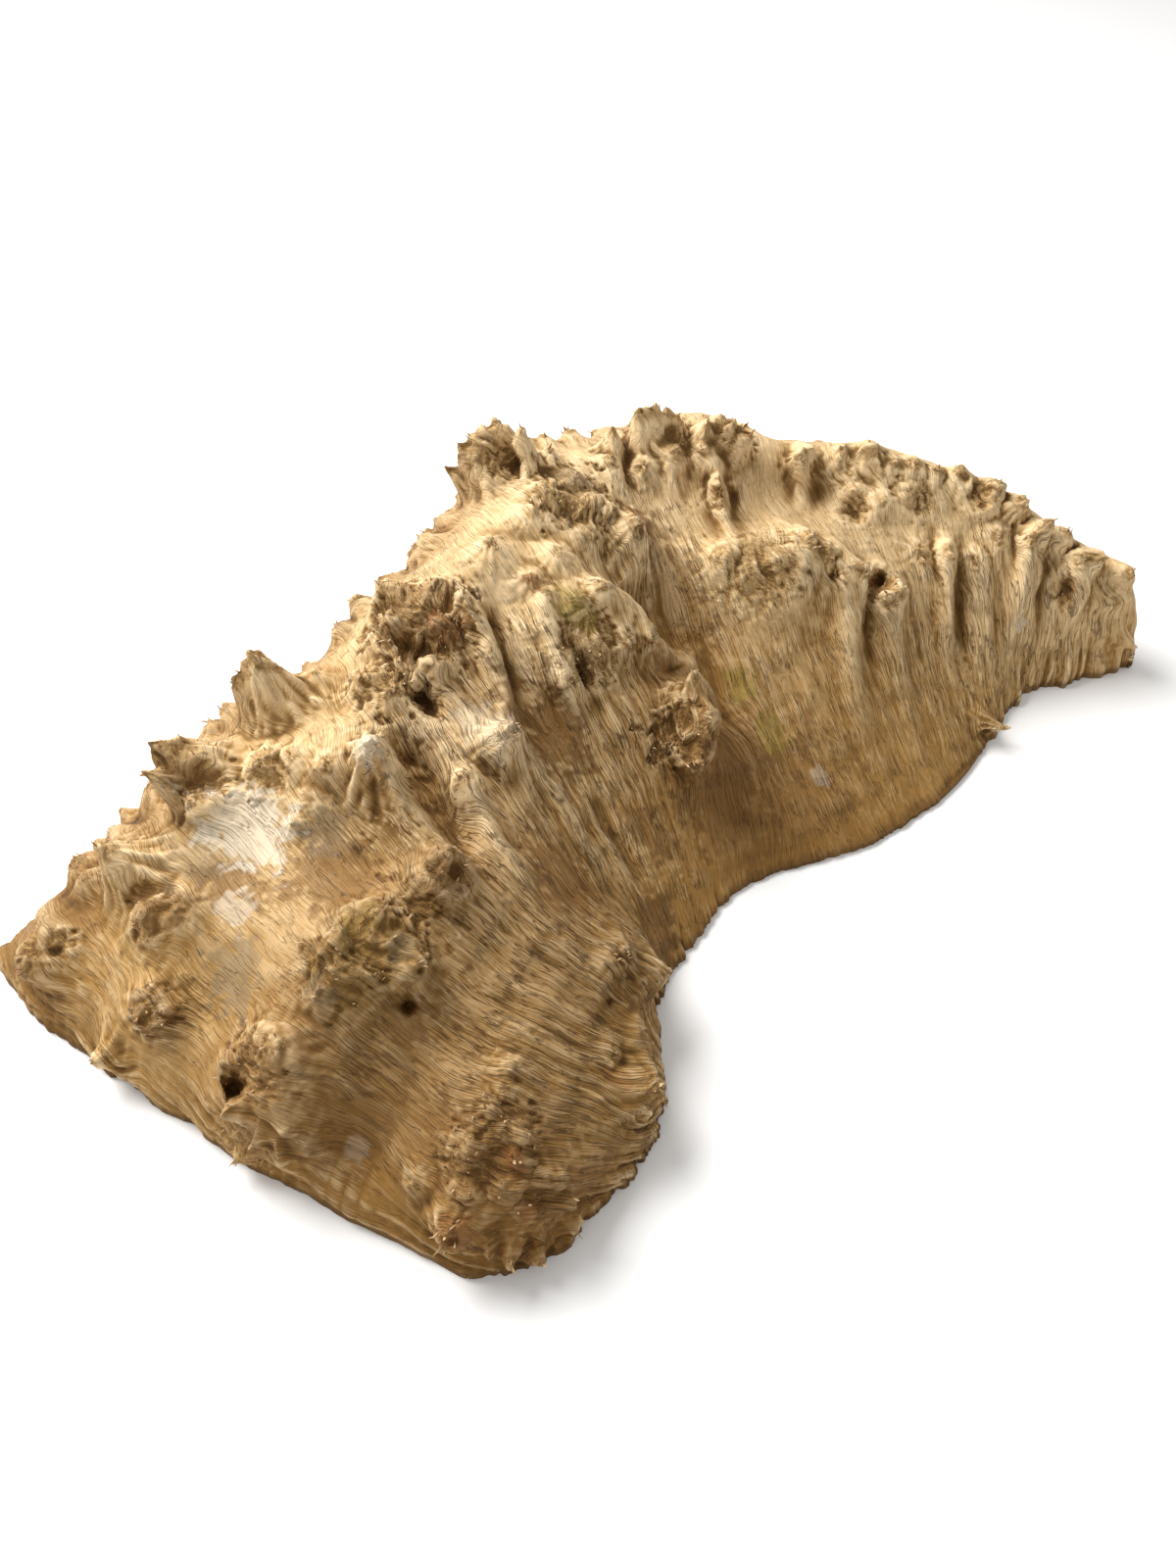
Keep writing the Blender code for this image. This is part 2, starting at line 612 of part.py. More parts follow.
def ease(share):
    """Smooth step from 0 to 1."""
    share = np.clip(share, 0, 1)
    return share * share * (3 - 2 * share)


class Skin:
    """The top surface as a grid of points, with its normals and the way down its grain."""

    def __init__(self, rows, points_across):
        self.points = loft(rows, points_across)
        self.measure()

    def measure(self):
        """Works out the normals, the grain and what the sighting camera sees."""
        along = np.gradient(self.points, axis=0)
        self.grain = np.gradient(self.points, axis=1)
        self.grain /= np.linalg.norm(self.grain, axis=2, keepdims=True) + 1e-12
        self.normals = np.cross(self.grain, along)
        self.normals /= np.linalg.norm(self.normals, axis=2, keepdims=True) + 1e-12
        self.normals *= np.sign(self.normals[..., 2].mean())
        self.seen = (self.normals * (EYE - self.points)).sum(axis=2) > 0
        rim = np.concatenate([self.points[0], self.points[-1], self.points[:, 0], self.points[:, -1]])[::4]
        gaps = np.full(self.points.shape[:2], 1.0)
        for point in rim:
            gaps = np.minimum(gaps, np.linalg.norm(self.points[..., :2] - point[:2], axis=2))
        self.inside = ease(gaps / RIM_FADE)

    def sight(self, pixel, lift=0.0):
        """Grid place of the skin that shows at a pixel once it is lifted along its normal."""
        across, down, depth = project(self.points + self.normals * lift)
        miss = np.hypot(across - pixel[0], down - pixel[1])
        miss += DEPTH_MISS * (depth - depth.min()) + HIDDEN_MISS * ~self.seen
        return np.unravel_index(np.argmin(miss), miss.shape)

    def place_at(self, share):
        """Grid place at shares along and across the skin."""
        rows, points_across = self.points.shape[:2]
        return round(share[0] * (rows - 1)), round(share[1] * (points_across - 1))

    def swell(self, lump):
        """Raises one broad lump."""
        foot = self.points[self.sight(lump.photo)]
        distance = np.linalg.norm(self.points - foot, axis=2) / (lump.spread * MM)
        share = np.exp(-LUMP_FALL * distance**2) * self.inside
        self.points = self.points + (lump.rise * MM * share)[..., None] * self.normals

    def ring(self, eye):
        """Raises the ridge of one eye and sinks its hollow."""
        foot = self.points[self.sight(eye.photo)]
        distance = np.linalg.norm(self.points - foot, axis=2) / (eye.radius * MM)
        ridge = eye.ridge * np.exp(-(((distance - 1) / EYE_WIDTHS[0]) ** 2))
        hollow = eye.hollow * np.exp(-((distance / EYE_WIDTHS[1]) ** 2))
        self.points = self.points + ((ridge - hollow) * MM * self.inside)[..., None] * self.normals

    def crease(self, seam):
        """Raises one rib or sinks one valley, tapering to nothing at both ends."""
        route = seam.route(self)
        nearest = np.full(self.points.shape[:2], 1.0)
        place = np.zeros(self.points.shape[:2])
        for number, (start, end) in enumerate(zip(route[:-1], route[1:])):
            run = end - start
            share = np.clip(((self.points - start) @ run) / (run @ run), 0, 1)
            distance = np.linalg.norm(self.points - start - share[..., None] * run, axis=2)
            place = np.where(distance < nearest, (number + share) / (len(route) - 1), place)
            nearest = np.minimum(nearest, distance)
        taper = ease(place / SEAM_TAPERS[0] + 0.25) * ease((1 - place) / SEAM_TAPERS[1])
        share = peak(nearest / (seam.spread * MM), 0.0) * taper * self.inside
        self.points = self.points + (seam.rise * MM * share)[..., None] * self.normals

    def raise_spurs(self, spurs, flare):
        """Pulls every spur's apex out to its pixel, and blends the spurs where they meet."""
        total = np.zeros(self.points.shape)
        weight = np.full(self.points.shape[:2], 1e-9)
        for spur in spurs:
            place, apex = spur.aim(self)
            foot = self.points[place]
            down = self.grain[place]
            if down[2] > UPHILL:
                down = -down
            offset = self.points - foot
            downhill = offset @ down
            stretch = np.where(downhill > 0, spur.tail, 1.0)
            sideways = np.maximum((offset**2).sum(axis=2) - downhill**2, 0)
            distance = np.sqrt(sideways + (downhill / stretch) ** 2) / (spur.spread * flare * MM)
            facing = np.clip(self.normals @ self.normals[place] * FACING[0] + FACING[1], 0, 1)
            share = peak(distance * (1 + RIM_TIGHTNESS * (1 - self.inside)), spur.sharp) * facing
            total += (share**4)[..., None] * (apex - foot)
            weight += share**3
        self.points = self.points + total / weight[..., None]

    def roughen(self):
        """Adds the uneven swelling of the whole skin, which waves its rim in plan too."""
        flat = self.points.reshape(-1, 3)
        rise = np.array([uneven(Vector(point)) for point in flat]).reshape(self.points.shape[:2])
        self.points = self.points + (rise * UNEVENNESS)[..., None] * self.normals

    def settle(self):
        """Keeps every point of the skin above the thin lip."""
        self.points[..., 2] = np.maximum(self.points[..., 2], LIP)


def uneven(point):
    """Smooth noise of about -1 to 1 at one point, from three sizes of bumps."""
    return sum(share * noise.noise(point / width + Vector(shift)) for width, share, shift in BUMPS)


def back_ribs():
    """Ribs and valleys down the steep back, evenly spread with a little play."""
    draw = np.random.RandomState(BACK_SEED)
    ribs = []
    for number in range(BACK_RIBS):
        along = (number + 0.5 + draw.uniform(-0.3, 0.3)) / BACK_RIBS
        rise = draw.uniform(*BACK_RIB_RISES) * (1 if number % 3 else -1)
        top = (along, draw.uniform(*BACK_RIB_TOPS))
        bottom = (min(max(along + draw.uniform(-0.02, 0.02), 0.01), 0.99), draw.uniform(*BACK_RIB_FEET))
        ribs.append(HiddenRib(top, bottom, rise, draw.uniform(*BACK_RIB_SPREADS)))
    return ribs


def back_knobs():
    """Clusters of knobs over the steep back, as thick as those on the side that shows."""
    draw = np.random.RandomState(BACK_SEED + 1)
    knobs = []
    for cluster in range(BACK_CLUSTERS):
        along = 0.10 + 0.84 * (cluster + draw.uniform(0.1, 0.9)) / BACK_CLUSTERS
        across = draw.uniform(0.03, 0.19)
        for _ in range(draw.randint(2, 5)):
            share = (along + draw.uniform(-0.022, 0.022), max(across + draw.uniform(-0.04, 0.04), 0.02))
            size = draw.uniform(*BACK_KNOB_SIZES)
            rise = BACK_KNOB_RISE * size
            spread = BACK_KNOB_SPREAD * size
            knobs.append(HiddenSpur(share, rise, spread, draw.uniform(0.3, 0.7), BACK_KNOB_TAIL))
    return knobs


def shape_skin(rows, points_across):
    """The whole skin in the surveyed frame."""
    skin = Skin(rows, points_across)
    for lump in LUMPS:
        skin.swell(lump)
    skin.measure()
    for seam in SEAMS + back_ribs():
        skin.crease(seam)
    skin.measure()
    skin.roughen()
    skin.measure()
    skin.raise_spurs(SPURS + back_knobs(), SPUR_FLARE)
    skin.measure()
    for eye in EYES:
        skin.ring(eye)
    skin.measure()
    skin.raise_spurs(PITS, PIT_FLARE)
    skin.settle()
    return skin


def skin_mesh(skin):
    """Open mesh of the skin's grid."""
    rows, points_across = skin.points.shape[:2]
    number = np.arange(rows * points_across).reshape(rows, points_across)
    corners = (number[:-1, :-1], number[1:, :-1], number[1:, 1:], number[:-1, 1:])
    faces = np.stack(corners, axis=-1).reshape(-1, 4)
    mesh = bpy.data.meshes.new("burl_cap")
    mesh.from_pydata(skin.points.reshape(-1, 3).tolist(), [], faces.tolist())
    return mesh


def thin_out(piece):
    """Leaves the skin few triangles on its flat stretches and many on its spikes."""
    shape = bmesh.new()
    shape.from_mesh(piece.data)
    bmesh.ops.triangulate(shape, faces=shape.faces)
    shape.to_mesh(piece.data)
    shape.free()
    thinning = piece.modifiers.new("thinning", "DECIMATE")
    thinning.ratio = SKIN_TRIANGLES / len(piece.data.polygons)
    graph = bpy.context.evaluated_depsgraph_get()
    piece.data = bpy.data.meshes.new_from_object(piece.evaluated_get(graph))
    piece.modifiers.clear()


def close_base(mesh):
    """Closes the skin with a thin wall below its rim and the flat cut face."""
    shape = bmesh.new()
    shape.from_mesh(mesh)
    rim = [edge for edge in shape.edges if edge.is_boundary]
    wall = bmesh.ops.extrude_edge_only(shape, edges=rim)["geom"]
    foot = [item for item in wall if isinstance(item, bmesh.types.BMVert)]
    for vertex in foot:
        vertex.co.z = 0.0
    cut = [edge for edge in shape.edges if edge.is_boundary]
    bmesh.ops.contextual_create(shape, geom=cut)
    bmesh.ops.recalc_face_normals(shape, faces=shape.faces)
    bmesh.ops.triangulate(shape, faces=shape.faces)
    shape.to_mesh(mesh)
    shape.free()


def centre_on_base(mesh):
    """Turns the mesh with its length along +X, and puts the middle of its base at the origin."""
    points = np.array([vertex.co for vertex in mesh.vertices])
    turned = np.array(points)
    turned[:, 0] = points[:, 0] * math.cos(TURN) - points[:, 1] * math.sin(TURN)
    turned[:, 1] = points[:, 0] * math.sin(TURN) + points[:, 1] * math.cos(TURN)
    turned[:, 0:2] -= (turned[:, 0:2].min(axis=0) + turned[:, 0:2].max(axis=0)) / 2
    for vertex, point in zip(mesh.vertices, turned):
        vertex.co = point


def weathered_wood():
    """Material of the bare, weathered burl."""
    material = bpy.data.materials.new("weathered_burl")
    material.use_nodes = True
    surface = material.node_tree.nodes["Principled BSDF"]
    surface.inputs["Base Color"].default_value = WOOD_COLOUR
    surface.inputs["Roughness"].default_value = WOOD_ROUGHNESS
    surface.inputs["Metallic"].default_value = 0.0
    return material


def make_burl_cap():
    """The cap as one object, standing on its cut face."""
    skin = shape_skin(GRID_ALONG, GRID_ACROSS)
    piece = bpy.data.objects.new("burl_cap", skin_mesh(skin))
    bpy.context.scene.collection.objects.link(piece)
    thin_out(piece)
    close_base(piece.data)
    centre_on_base(piece.data)
    piece.data.materials.append(weathered_wood())
    piece.data.shade_smooth()
    return piece


def main():
    """Clears the scene and makes the cap."""
    for item in list(bpy.data.objects):
        bpy.data.objects.remove(item)
    make_burl_cap()


if __name__ == "__main__":
    main()
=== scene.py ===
"""Dresses the burl cap with its weathered, grooved and splintered skin.

The skin is raised again from the same survey as the solid, on a much finer grid, and then
carved: flutes and grooves follow the grain, and the knots break up into crumbs and splinters.
Sizes of surveyed features are in millimetres, and all other lengths are in metres.
"""

from __future__ import annotations

from collections.abc import Callable
from dataclasses import dataclass, field
from enum import Enum
import logging
import math

import bpy
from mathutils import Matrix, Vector, geometry, noise
import numpy as np

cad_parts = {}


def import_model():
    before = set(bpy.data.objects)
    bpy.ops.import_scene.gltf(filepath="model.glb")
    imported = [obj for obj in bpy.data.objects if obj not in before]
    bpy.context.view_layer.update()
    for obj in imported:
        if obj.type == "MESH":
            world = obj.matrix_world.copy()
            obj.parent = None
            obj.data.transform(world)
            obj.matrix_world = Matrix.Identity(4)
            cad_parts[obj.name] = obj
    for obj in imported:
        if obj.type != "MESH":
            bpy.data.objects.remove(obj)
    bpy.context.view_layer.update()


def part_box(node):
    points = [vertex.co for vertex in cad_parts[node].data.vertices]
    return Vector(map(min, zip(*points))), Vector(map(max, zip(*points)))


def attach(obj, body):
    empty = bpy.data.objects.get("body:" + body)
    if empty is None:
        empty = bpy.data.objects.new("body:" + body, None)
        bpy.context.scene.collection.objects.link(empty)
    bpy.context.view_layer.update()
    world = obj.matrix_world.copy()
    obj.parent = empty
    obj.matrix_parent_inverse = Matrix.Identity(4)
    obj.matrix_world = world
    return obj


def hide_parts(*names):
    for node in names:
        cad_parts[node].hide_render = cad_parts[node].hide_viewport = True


LOG = logging.getLogger("burl_cap")
NODE = "burl_cap"
BODY = "root"

MM = 0.001
LIP = 2.5 * MM
NEAR_ROUNDING = 60 * MM
FAR_ROUNDING = 14 * MM
RIM_FADE = 10 * MM
TURN = math.radians(-35.0)
GUIDE_ALONG = 260
GUIDE_ACROSS = 120
SKIN_ALONG = 688
SKIN_ACROSS = 400

Array = np.ndarray
Pixel = tuple[float, float]
Share = tuple[float, float]
Colour = tuple[float, float, float]


def srgb(red: int, green: int, blue: int) -> Colour:
    """Linear colour of an sRGB colour given as 0 to 255.

    Args:
        red: Red, 0 to 255.
        green: Green, 0 to 255.
        blue: Blue, 0 to 255.

    Returns:
        The linear colour.
    """
    values = []
    for value in (red, green, blue):
        part = value / 255
        values.append(part / 12.92 if part <= 0.04045 else ((part + 0.055) / 1.055) ** 2.4)
    return tuple(values)


def ease(share: Array) -> Array:
    """Smooth step from 0 to 1."""
    share = np.clip(share, 0, 1)
    return share * share * (3 - 2 * share)


def field_noise(points: Array, seed: float = 0.0) -> Array:
    """Blender's noise at every point of an array.

    Args:
        points: Array whose last axis holds three coordinates.
        seed: Moves the noise to another place.

    Returns:
        Values of about -1 to 1, one for each point.
    """
    shift = Vector((seed, 2.7 * seed, -1.3 * seed))
    flat = points.reshape(-1, 3)
    values = np.array([noise.noise(Vector(point) + shift) for point in flat])
    return values.reshape(points.shape[:-1])


@dataclass(frozen=True)
class Sighting:
    """The camera that the features' pixels were read with, in the surveyed frame."""

    eye: tuple[float, float, float] = (0.0, 0.0, 0.400)
    pitch: float = math.radians(47.0)
    focal_px: float = 1300.0
    centre_px: Pixel = (600.0, 800.0)

    @property
    def forward(self) -> Array:
        """Direction that the camera looks in."""
        return np.array([0.0, math.cos(self.pitch), -math.sin(self.pitch)])

    @property
    def upward(self) -> Array:
        """Direction that points up in the picture."""
        return np.array([0.0, math.sin(self.pitch), math.cos(self.pitch)])

    def project(self, points: Array) -> tuple[Array, Array, Array]:
        """Pixels across and down, and depths, of points.

        Args:
            points: Array whose last axis holds three coordinates.

        Returns:
            The pixels across, the pixels down and the depths.
        """
        offset = points - np.array(self.eye)
        depth = offset @ self.forward
        across = self.centre_px[0] + self.focal_px * offset[..., 0] / depth
        down = self.centre_px[1] - self.focal_px * (offset @ self.upward) / depth
        return across, down, depth

    def line(self, pixel: Pixel) -> Array:
        """Unit direction through a pixel.

        Args:
            pixel: The pixel, across and down.

        Returns:
            The direction.
        """
        across = (pixel[0] - self.centre_px[0]) / self.focal_px
        up = (self.centre_px[1] - pixel[1]) / self.focal_px
        direction = self.forward + np.array([across, 0.0, 0.0]) + self.upward * up
        return direction / np.linalg.norm(direction)


SIGHTING = Sighting()


@dataclass(frozen=True)
class Station:
    """One cross-section of the loft, with its feet on the saw cut, its crest and its flanks."""

    left: tuple[float, float]
    right: tuple[float, float]
    crest_at: float
    crest: float
    left_fullness: float
    right_fullness: float
    right_slope: float
    bow: float

    def numbers(self) -> list[float]:
        """The station's sizes in one row."""
        flanks = (self.left_fullness, self.right_fullness, self.right_slope)
        return [*self.left, *self.right, self.crest_at, self.crest, *flanks, self.bow]


@dataclass(frozen=True)
class Lump:
    """A broad swelling, or a hollow where its rise is negative."""

    photo: Pixel
    rise: float
    spread: float


@dataclass(frozen=True)
class Eye:
    """A knot's eye: a ring-shaped ridge around a hollow."""

    photo: Pixel
    radius: float
    ridge: float
    hollow: float


@dataclass(frozen=True)
class Anchor:
    """Where a spur stands on the guide skin, which way the grain runs down, and its apex."""

    foot: Array
    normal: Array
    down: Array
    apex: Array


@dataclass(frozen=True)
class Seam:
    """A rib, or a valley where its rise is negative, along points of the photograph."""

    photo: tuple[Pixel, ...]
    rise: float
    spread: float

    def route(self, skin: Skin) -> list[Array]:
        """Skin points that the rib passes through."""
        return [skin.points[skin.sight(pixel)] for pixel in self.photo]


@dataclass(frozen=True)
class HiddenRib:
    """A rib or a valley down the back, between two shares along and across the skin."""

    top: Share
    bottom: Share
    rise: float
    spread: float

    def route(self, skin: Skin) -> list[Array]:
        """Skin points that the rib passes through."""
        middle = ((self.top[0] + self.bottom[0]) / 2, (self.top[1] + self.bottom[1]) / 2)
        return [skin.points[skin.place_at(share)] for share in (self.top, middle, self.bottom)]


@dataclass(frozen=True)
class Spur:
    """A knob or a spike with its apex at a photograph pixel.

    sharp runs from 0, a round knob, to 1, a thorn. tail stretches the foot down the grain.
    lean is how far the apex leans from its foot, in pixels.
    """

    photo: Pixel
    rise: float
    spread: float
    sharp: float
    tail: float = 1.0
    lean: Pixel = (0, 0)

    def anchor(self, skin: Skin) -> Anchor:
        """Finds the foot on the skin, and the apex on its line of sight.

        Args:
            skin: The skin that the spur stands on.

        Returns:
            The spur's anchor.
        """
        base = (self.photo[0] - self.lean[0], self.photo[1] - self.lean[1])
        place = skin.sight(base, max(self.rise, 0.0) * MM)
        line = SIGHTING.line(self.photo)
        eye = np.array(SIGHTING.eye)
        above = skin.points[place] + skin.normals[place] * self.rise * MM
        return skin.anchor_at(place, eye + line * ((above - eye) @ line))


@dataclass(frozen=True)
class HiddenSpur:
    """A knob on the back, which the photograph hides, at shares along and across the skin."""

    share: Share
    rise: float
    spread: float
    sharp: float
    tail: float

    def anchor(self, skin: Skin) -> Anchor:
        """Finds the foot on the skin, and the apex straight out of it."""
        place = skin.place_at(self.share)
        return skin.anchor_at(place, skin.points[place] + skin.normals[place] * self.rise * MM)


# Loft, from the near lobe to the far end
STATIONS = [
    Station((-222, 286), (-38, 160), 0.50, 46, 2.0, 2.2, 0.60, 15),
    Station((-208, 303), (-13, 166), 0.50, 50, 2.2, 2.2, 0.60, 10),
    Station((-190, 325), (11, 189), 0.45, 58, 2.2, 2.2, 0.60, 4),
    Station((-168, 354), (24, 213), 0.42, 66, 2.2, 2.1, 0.62, 2),
    Station((-140, 384), (26, 238), 0.38, 74, 2.2, 1.8, 0.70, 0),
    Station((-110, 412), (27, 262), 0.32, 84, 2.2, 1.5, 0.85, 0),
    Station((-82, 442), (38, 285), 0.28, 92, 2.2, 1.3, 0.95, 0),
    Station((-64, 474), (50, 305), 0.28, 96, 2.2, 1.25, 1.0, 0),
    Station((-48, 504), (68, 320), 0.28, 95, 2.2, 1.2, 1.05, 0),
    Station((-22, 526), (90, 329), 0.28, 92, 2.2, 1.2, 1.1, 0),
    Station((12, 538), (114, 338), 0.27, 90, 2.2, 1.2, 1.1, 0),
    Station((56, 541), (138, 354), 0.27, 86, 2.2, 1.2, 1.1, 0),
    Station((100, 536), (161, 375), 0.28, 82, 2.2, 1.2, 1.1, 0),
    Station((142, 524), (181, 404), 0.30, 75, 2.2, 1.3, 1.0, 0),
    Station((180, 506), (202, 430), 0.32, 65, 2.2, 1.5, 0.8, 0),
    Station((218, 484), (228, 438), 0.36, 51, 2.2, 1.8, 0.65, 0),
    Station((248, 466), (254, 448), 0.42, 42, 2.2, 2.2, 0.5, 0),
]

# Broad swellings and hollows
LUMPS = [
    Lump((350, 985), 10, 34),
    Lump((285, 1120), 12, 30),
    Lump((480, 1160), 9, 34),
    Lump((560, 1240), 5, 26),
    Lump((150, 940), 4, 26),
    Lump((150, 1035), 5, 20),
    Lump((230, 800), 8, 34),
    Lump((365, 780), 12, 28),
    Lump((290, 725), 10, 26),
    Lump((450, 885), 7, 20),
    Lump((640, 985), 8, 22),
    Lump((60, 965), 6, 22),
    Lump((400, 1130), -8, 30),
    Lump((220, 1000), -6, 30),
    Lump((240, 880), -5, 26),
    Lump((470, 1030), -5, 36),
    Lump((380, 870), -6, 28),
    Lump((350, 1180), -8, 20),
    Lump((430, 640), 10, 34),
    Lump((600, 640), 9, 34),
    Lump((690, 740), 12, 28),
    Lump((500, 760), 5, 26),
    Lump((560, 720), -5, 22),
    Lump((420, 780), -8, 20),
    Lump((490, 470), 8, 34),
    Lump((580, 530), 6, 34),
    Lump((670, 450), 8, 34),
    Lump((735, 450), 8, 28),
    Lump((790, 580), 12, 36),
    Lump((900, 600), 6, 24),
    Lump((890, 480), 6, 34),
    Lump((1000, 510), 6, 30),
    Lump((830, 500), -8, 22),
    Lump((760, 510), -6, 22),
    Lump((1050, 600), 5, 24),
]

# Ribs and valleys
SEAMS = [
    # the fold between the middle hump and the far slope
    Seam(((640, 590), (700, 650), (742, 725), (752, 790)), -17, 36),
    Seam(((590, 600), (640, 640), (690, 690), (712, 745), (702, 790), (680, 850)), 11, 24),
    # ribs and hollows down the middle hump
    Seam(((424, 682), (438, 712), (454, 740)), -8, 9),
    Seam(((404, 650), (424, 664), (446, 672)), -4, 7),
    Seam(((590, 660), (602, 690), (606, 712)), -4, 8),
    Seam(((462, 600), (488, 660), (508, 715), (532, 790)), 9, 14),
    Seam(((500, 610), (515, 650), (532, 700), (560, 770)), -7, 12),
    Seam(((545, 610), (562, 660), (578, 710), (600, 790)), 6, 12),
    Seam(((578, 640), (600, 690), (625, 750)), -4, 12),
    Seam(((560, 790), (590, 850), (625, 920)), 3, 14),
    Seam(((475, 800), (510, 870), (560, 940)), 3, 12),
    Seam(((600, 800), (640, 870), (665, 930)), -3, 12),
    Seam(((375, 765), (400, 800), (425, 845), (470, 910)), 8, 16),
    Seam(((405, 740), (440, 800), (480, 870), (520, 930)), -8, 17),
    # ribs down the far slope
    Seam(((640, 430), (640, 470), (650, 520)), -4, 9),
    Seam(((700, 430), (700, 480), (705, 530)), -4, 12),
    Seam(((728, 465), (735, 510), (750, 570)), 6, 10),
    Seam(((812, 455), (816, 490), (822, 530)), 7, 12),
    Seam(((845, 550), (858, 610), (868, 690), (885, 780)), 6, 16),
    Seam(((905, 590), (915, 660), (935, 750)), 4, 15),
    Seam(((965, 540), (962, 600), (968, 700)), 5, 13),
    Seam(((1000, 550), (1002, 620), (1004, 710)), 4, 13),
    Seam(((1050, 540), (1040, 600), (1022, 690)), 6, 13),
    Seam(((1098, 560), (1094, 610), (1082, 670)), 5, 12),
    Seam(((1074, 555), (1067, 610), (1058, 675)), -4, 10),
    Seam(((880, 580), (887, 640), (897, 720)), -4, 11),
    Seam(((982, 560), (983, 620), (987, 700)), -3, 9),
    # the flange on the right of the near lobe
    Seam(((645, 1030), (662, 1090), (660, 1140)), 5, 14),
]

# Eyes of knots
EYES = [
    Eye((430, 650), 12, 1.8, 1.1),
    Eye((385, 955), 13, 1.8, 0.8),
    Eye((255, 1098), 13, 1.8, 0.6),
    Eye((143, 1036), 7, 1.4, 0.8),
    Eye((60, 966), 6, 0.7, 0.6),
    Eye((508, 472), 10, 1.4, 1.1),
    Eye((775, 582), 16, 1.6, 0.7),
    Eye((900, 598), 9, 1.6, 1.1),
    Eye((205, 802), 9, 1.4, 0.7),
    Eye((276, 792), 9, 1.2, 0.6),
    Eye((605, 676), 9, 1.2, 0.7),
    Eye((590, 520), 12, 1.4, 0.8),
    Eye((1000, 506), 8, 1.4, 0.8),
    Eye((1092, 600), 8, 1.4, 0.8),
    Eye((505, 1186), 12, 1.4, 0.6),
    Eye((462, 886), 8, 1.4, 0.9),
    Eye((940, 510), 9, 1.3, 0.8),
    Eye((870, 520), 8, 1.4, 0.8),
    Eye((690, 452), 9, 1.1, 0.7),
    Eye((740, 506), 7, 1.1, 0.7),
    Eye((552, 1230), 8, 1.4, 0.7),
]

# Corner, prongs and hooks along the left edge of the near lobe
LEFT_EDGE_KNOBS = [
    Spur((18, 982), 8, 20, 0.6, lean=(-8, 0)),
    Spur((88, 1088), 7, 12, 0.7, lean=(-13, 5)),
    Spur((96, 862), 17, 15, 0.8, lean=(-10, -6)),
    Spur((137, 753), 23, 12, 0.5, lean=(-14, -4)),
    Spur((163, 739), 22, 13, 0.4, lean=(-10, -8)),
    Spur((139, 784), 18, 9, 0.8, lean=(-16, 0)),
    Spur((247, 650), 25, 13, 0.35, lean=(-10, -12)),
    Spur((234, 690), 14, 10, 0.6, lean=(-10, -4)),
    Spur((284, 684), 12, 10, 0.8, lean=(0, -6)),
    Spur((316, 683), 6, 8, 0.6),
]

# Top of the near lobe, from the left prongs to the cream-tipped horn
NEAR_CROWN_KNOBS = [
    Spur((198, 775), 8, 12, 0.5, lean=(-4, -4)),
    Spur((196, 815), 7, 11, 0.4, lean=(-6, 4)),
    Spur((264, 775), 6, 12, 0.5),
    Spur((295, 770), 5, 11, 0.5),
    Spur((373, 754), 18, 15, 0.35, tail=2.2, lean=(-6, -8)),
    Spur((330, 778), 6, 11, 0.6),
    Spur((312, 820), 4, 9, 0.6),
    Spur((296, 838), 5, 6, 0.5),
    Spur((455, 872), 11, 13, 0.4, lean=(6, -2)),
    Spur((466, 792), 9, 11, 0.6, lean=(6, -2)),
    Spur((141, 930), 8, 12, 0.4, lean=(-4, -2)),
    Spur((146, 957), 4, 7, 0.4, lean=(-4, 2)),
    Spur((143, 1032), 7, 12, 0.4, lean=(-8, 2)),
    Spur((180, 925), 5, 12, 0.3),
]

# The big mound on the near lobe and its ring of eyes
MOUND_KNOBS = [
    Spur((324, 970), 5, 10, 0.4, lean=(-2, -2)),
    Spur((347, 955), 5, 10, 0.4),
    Spur((385, 930), 8, 14, 0.4, lean=(0, -3)),
    Spur((402, 955), 6, 10, 0.4),
    Spur((427, 978), 6, 10, 0.4, lean=(4, 0)),
    Spur((322, 1015), 4, 10, 0.4, lean=(-4, 0)),
    Spur((370, 990), 4, 9, 0.4),
    Spur((343, 992), 4, 9, 0.3),
]

# The mound with the borer hole, down to the near edge
HOLED_MOUND_KNOBS = [
    Spur((272, 1068), 7, 14, 0.3, lean=(0, -2)),
    Spur((228, 1086), 4, 9, 0.3),
    Spur((225, 1140), 5, 10, 0.3, lean=(-4, 2)),
    Spur((240, 1188), 4, 11, 0.1, lean=(-4, 5)),
    Spur((256, 1172), 4, 9, 0.2),
    Spur((284, 1190), 3, 10, 0.1, lean=(0, 4)),
    Spur((312, 1180), 3, 10, 0.1, lean=(1, 2)),
    Spur((288, 1162), 4, 8, 0.4),
    Spur((478, 1172), 5, 13, 0.3),
]

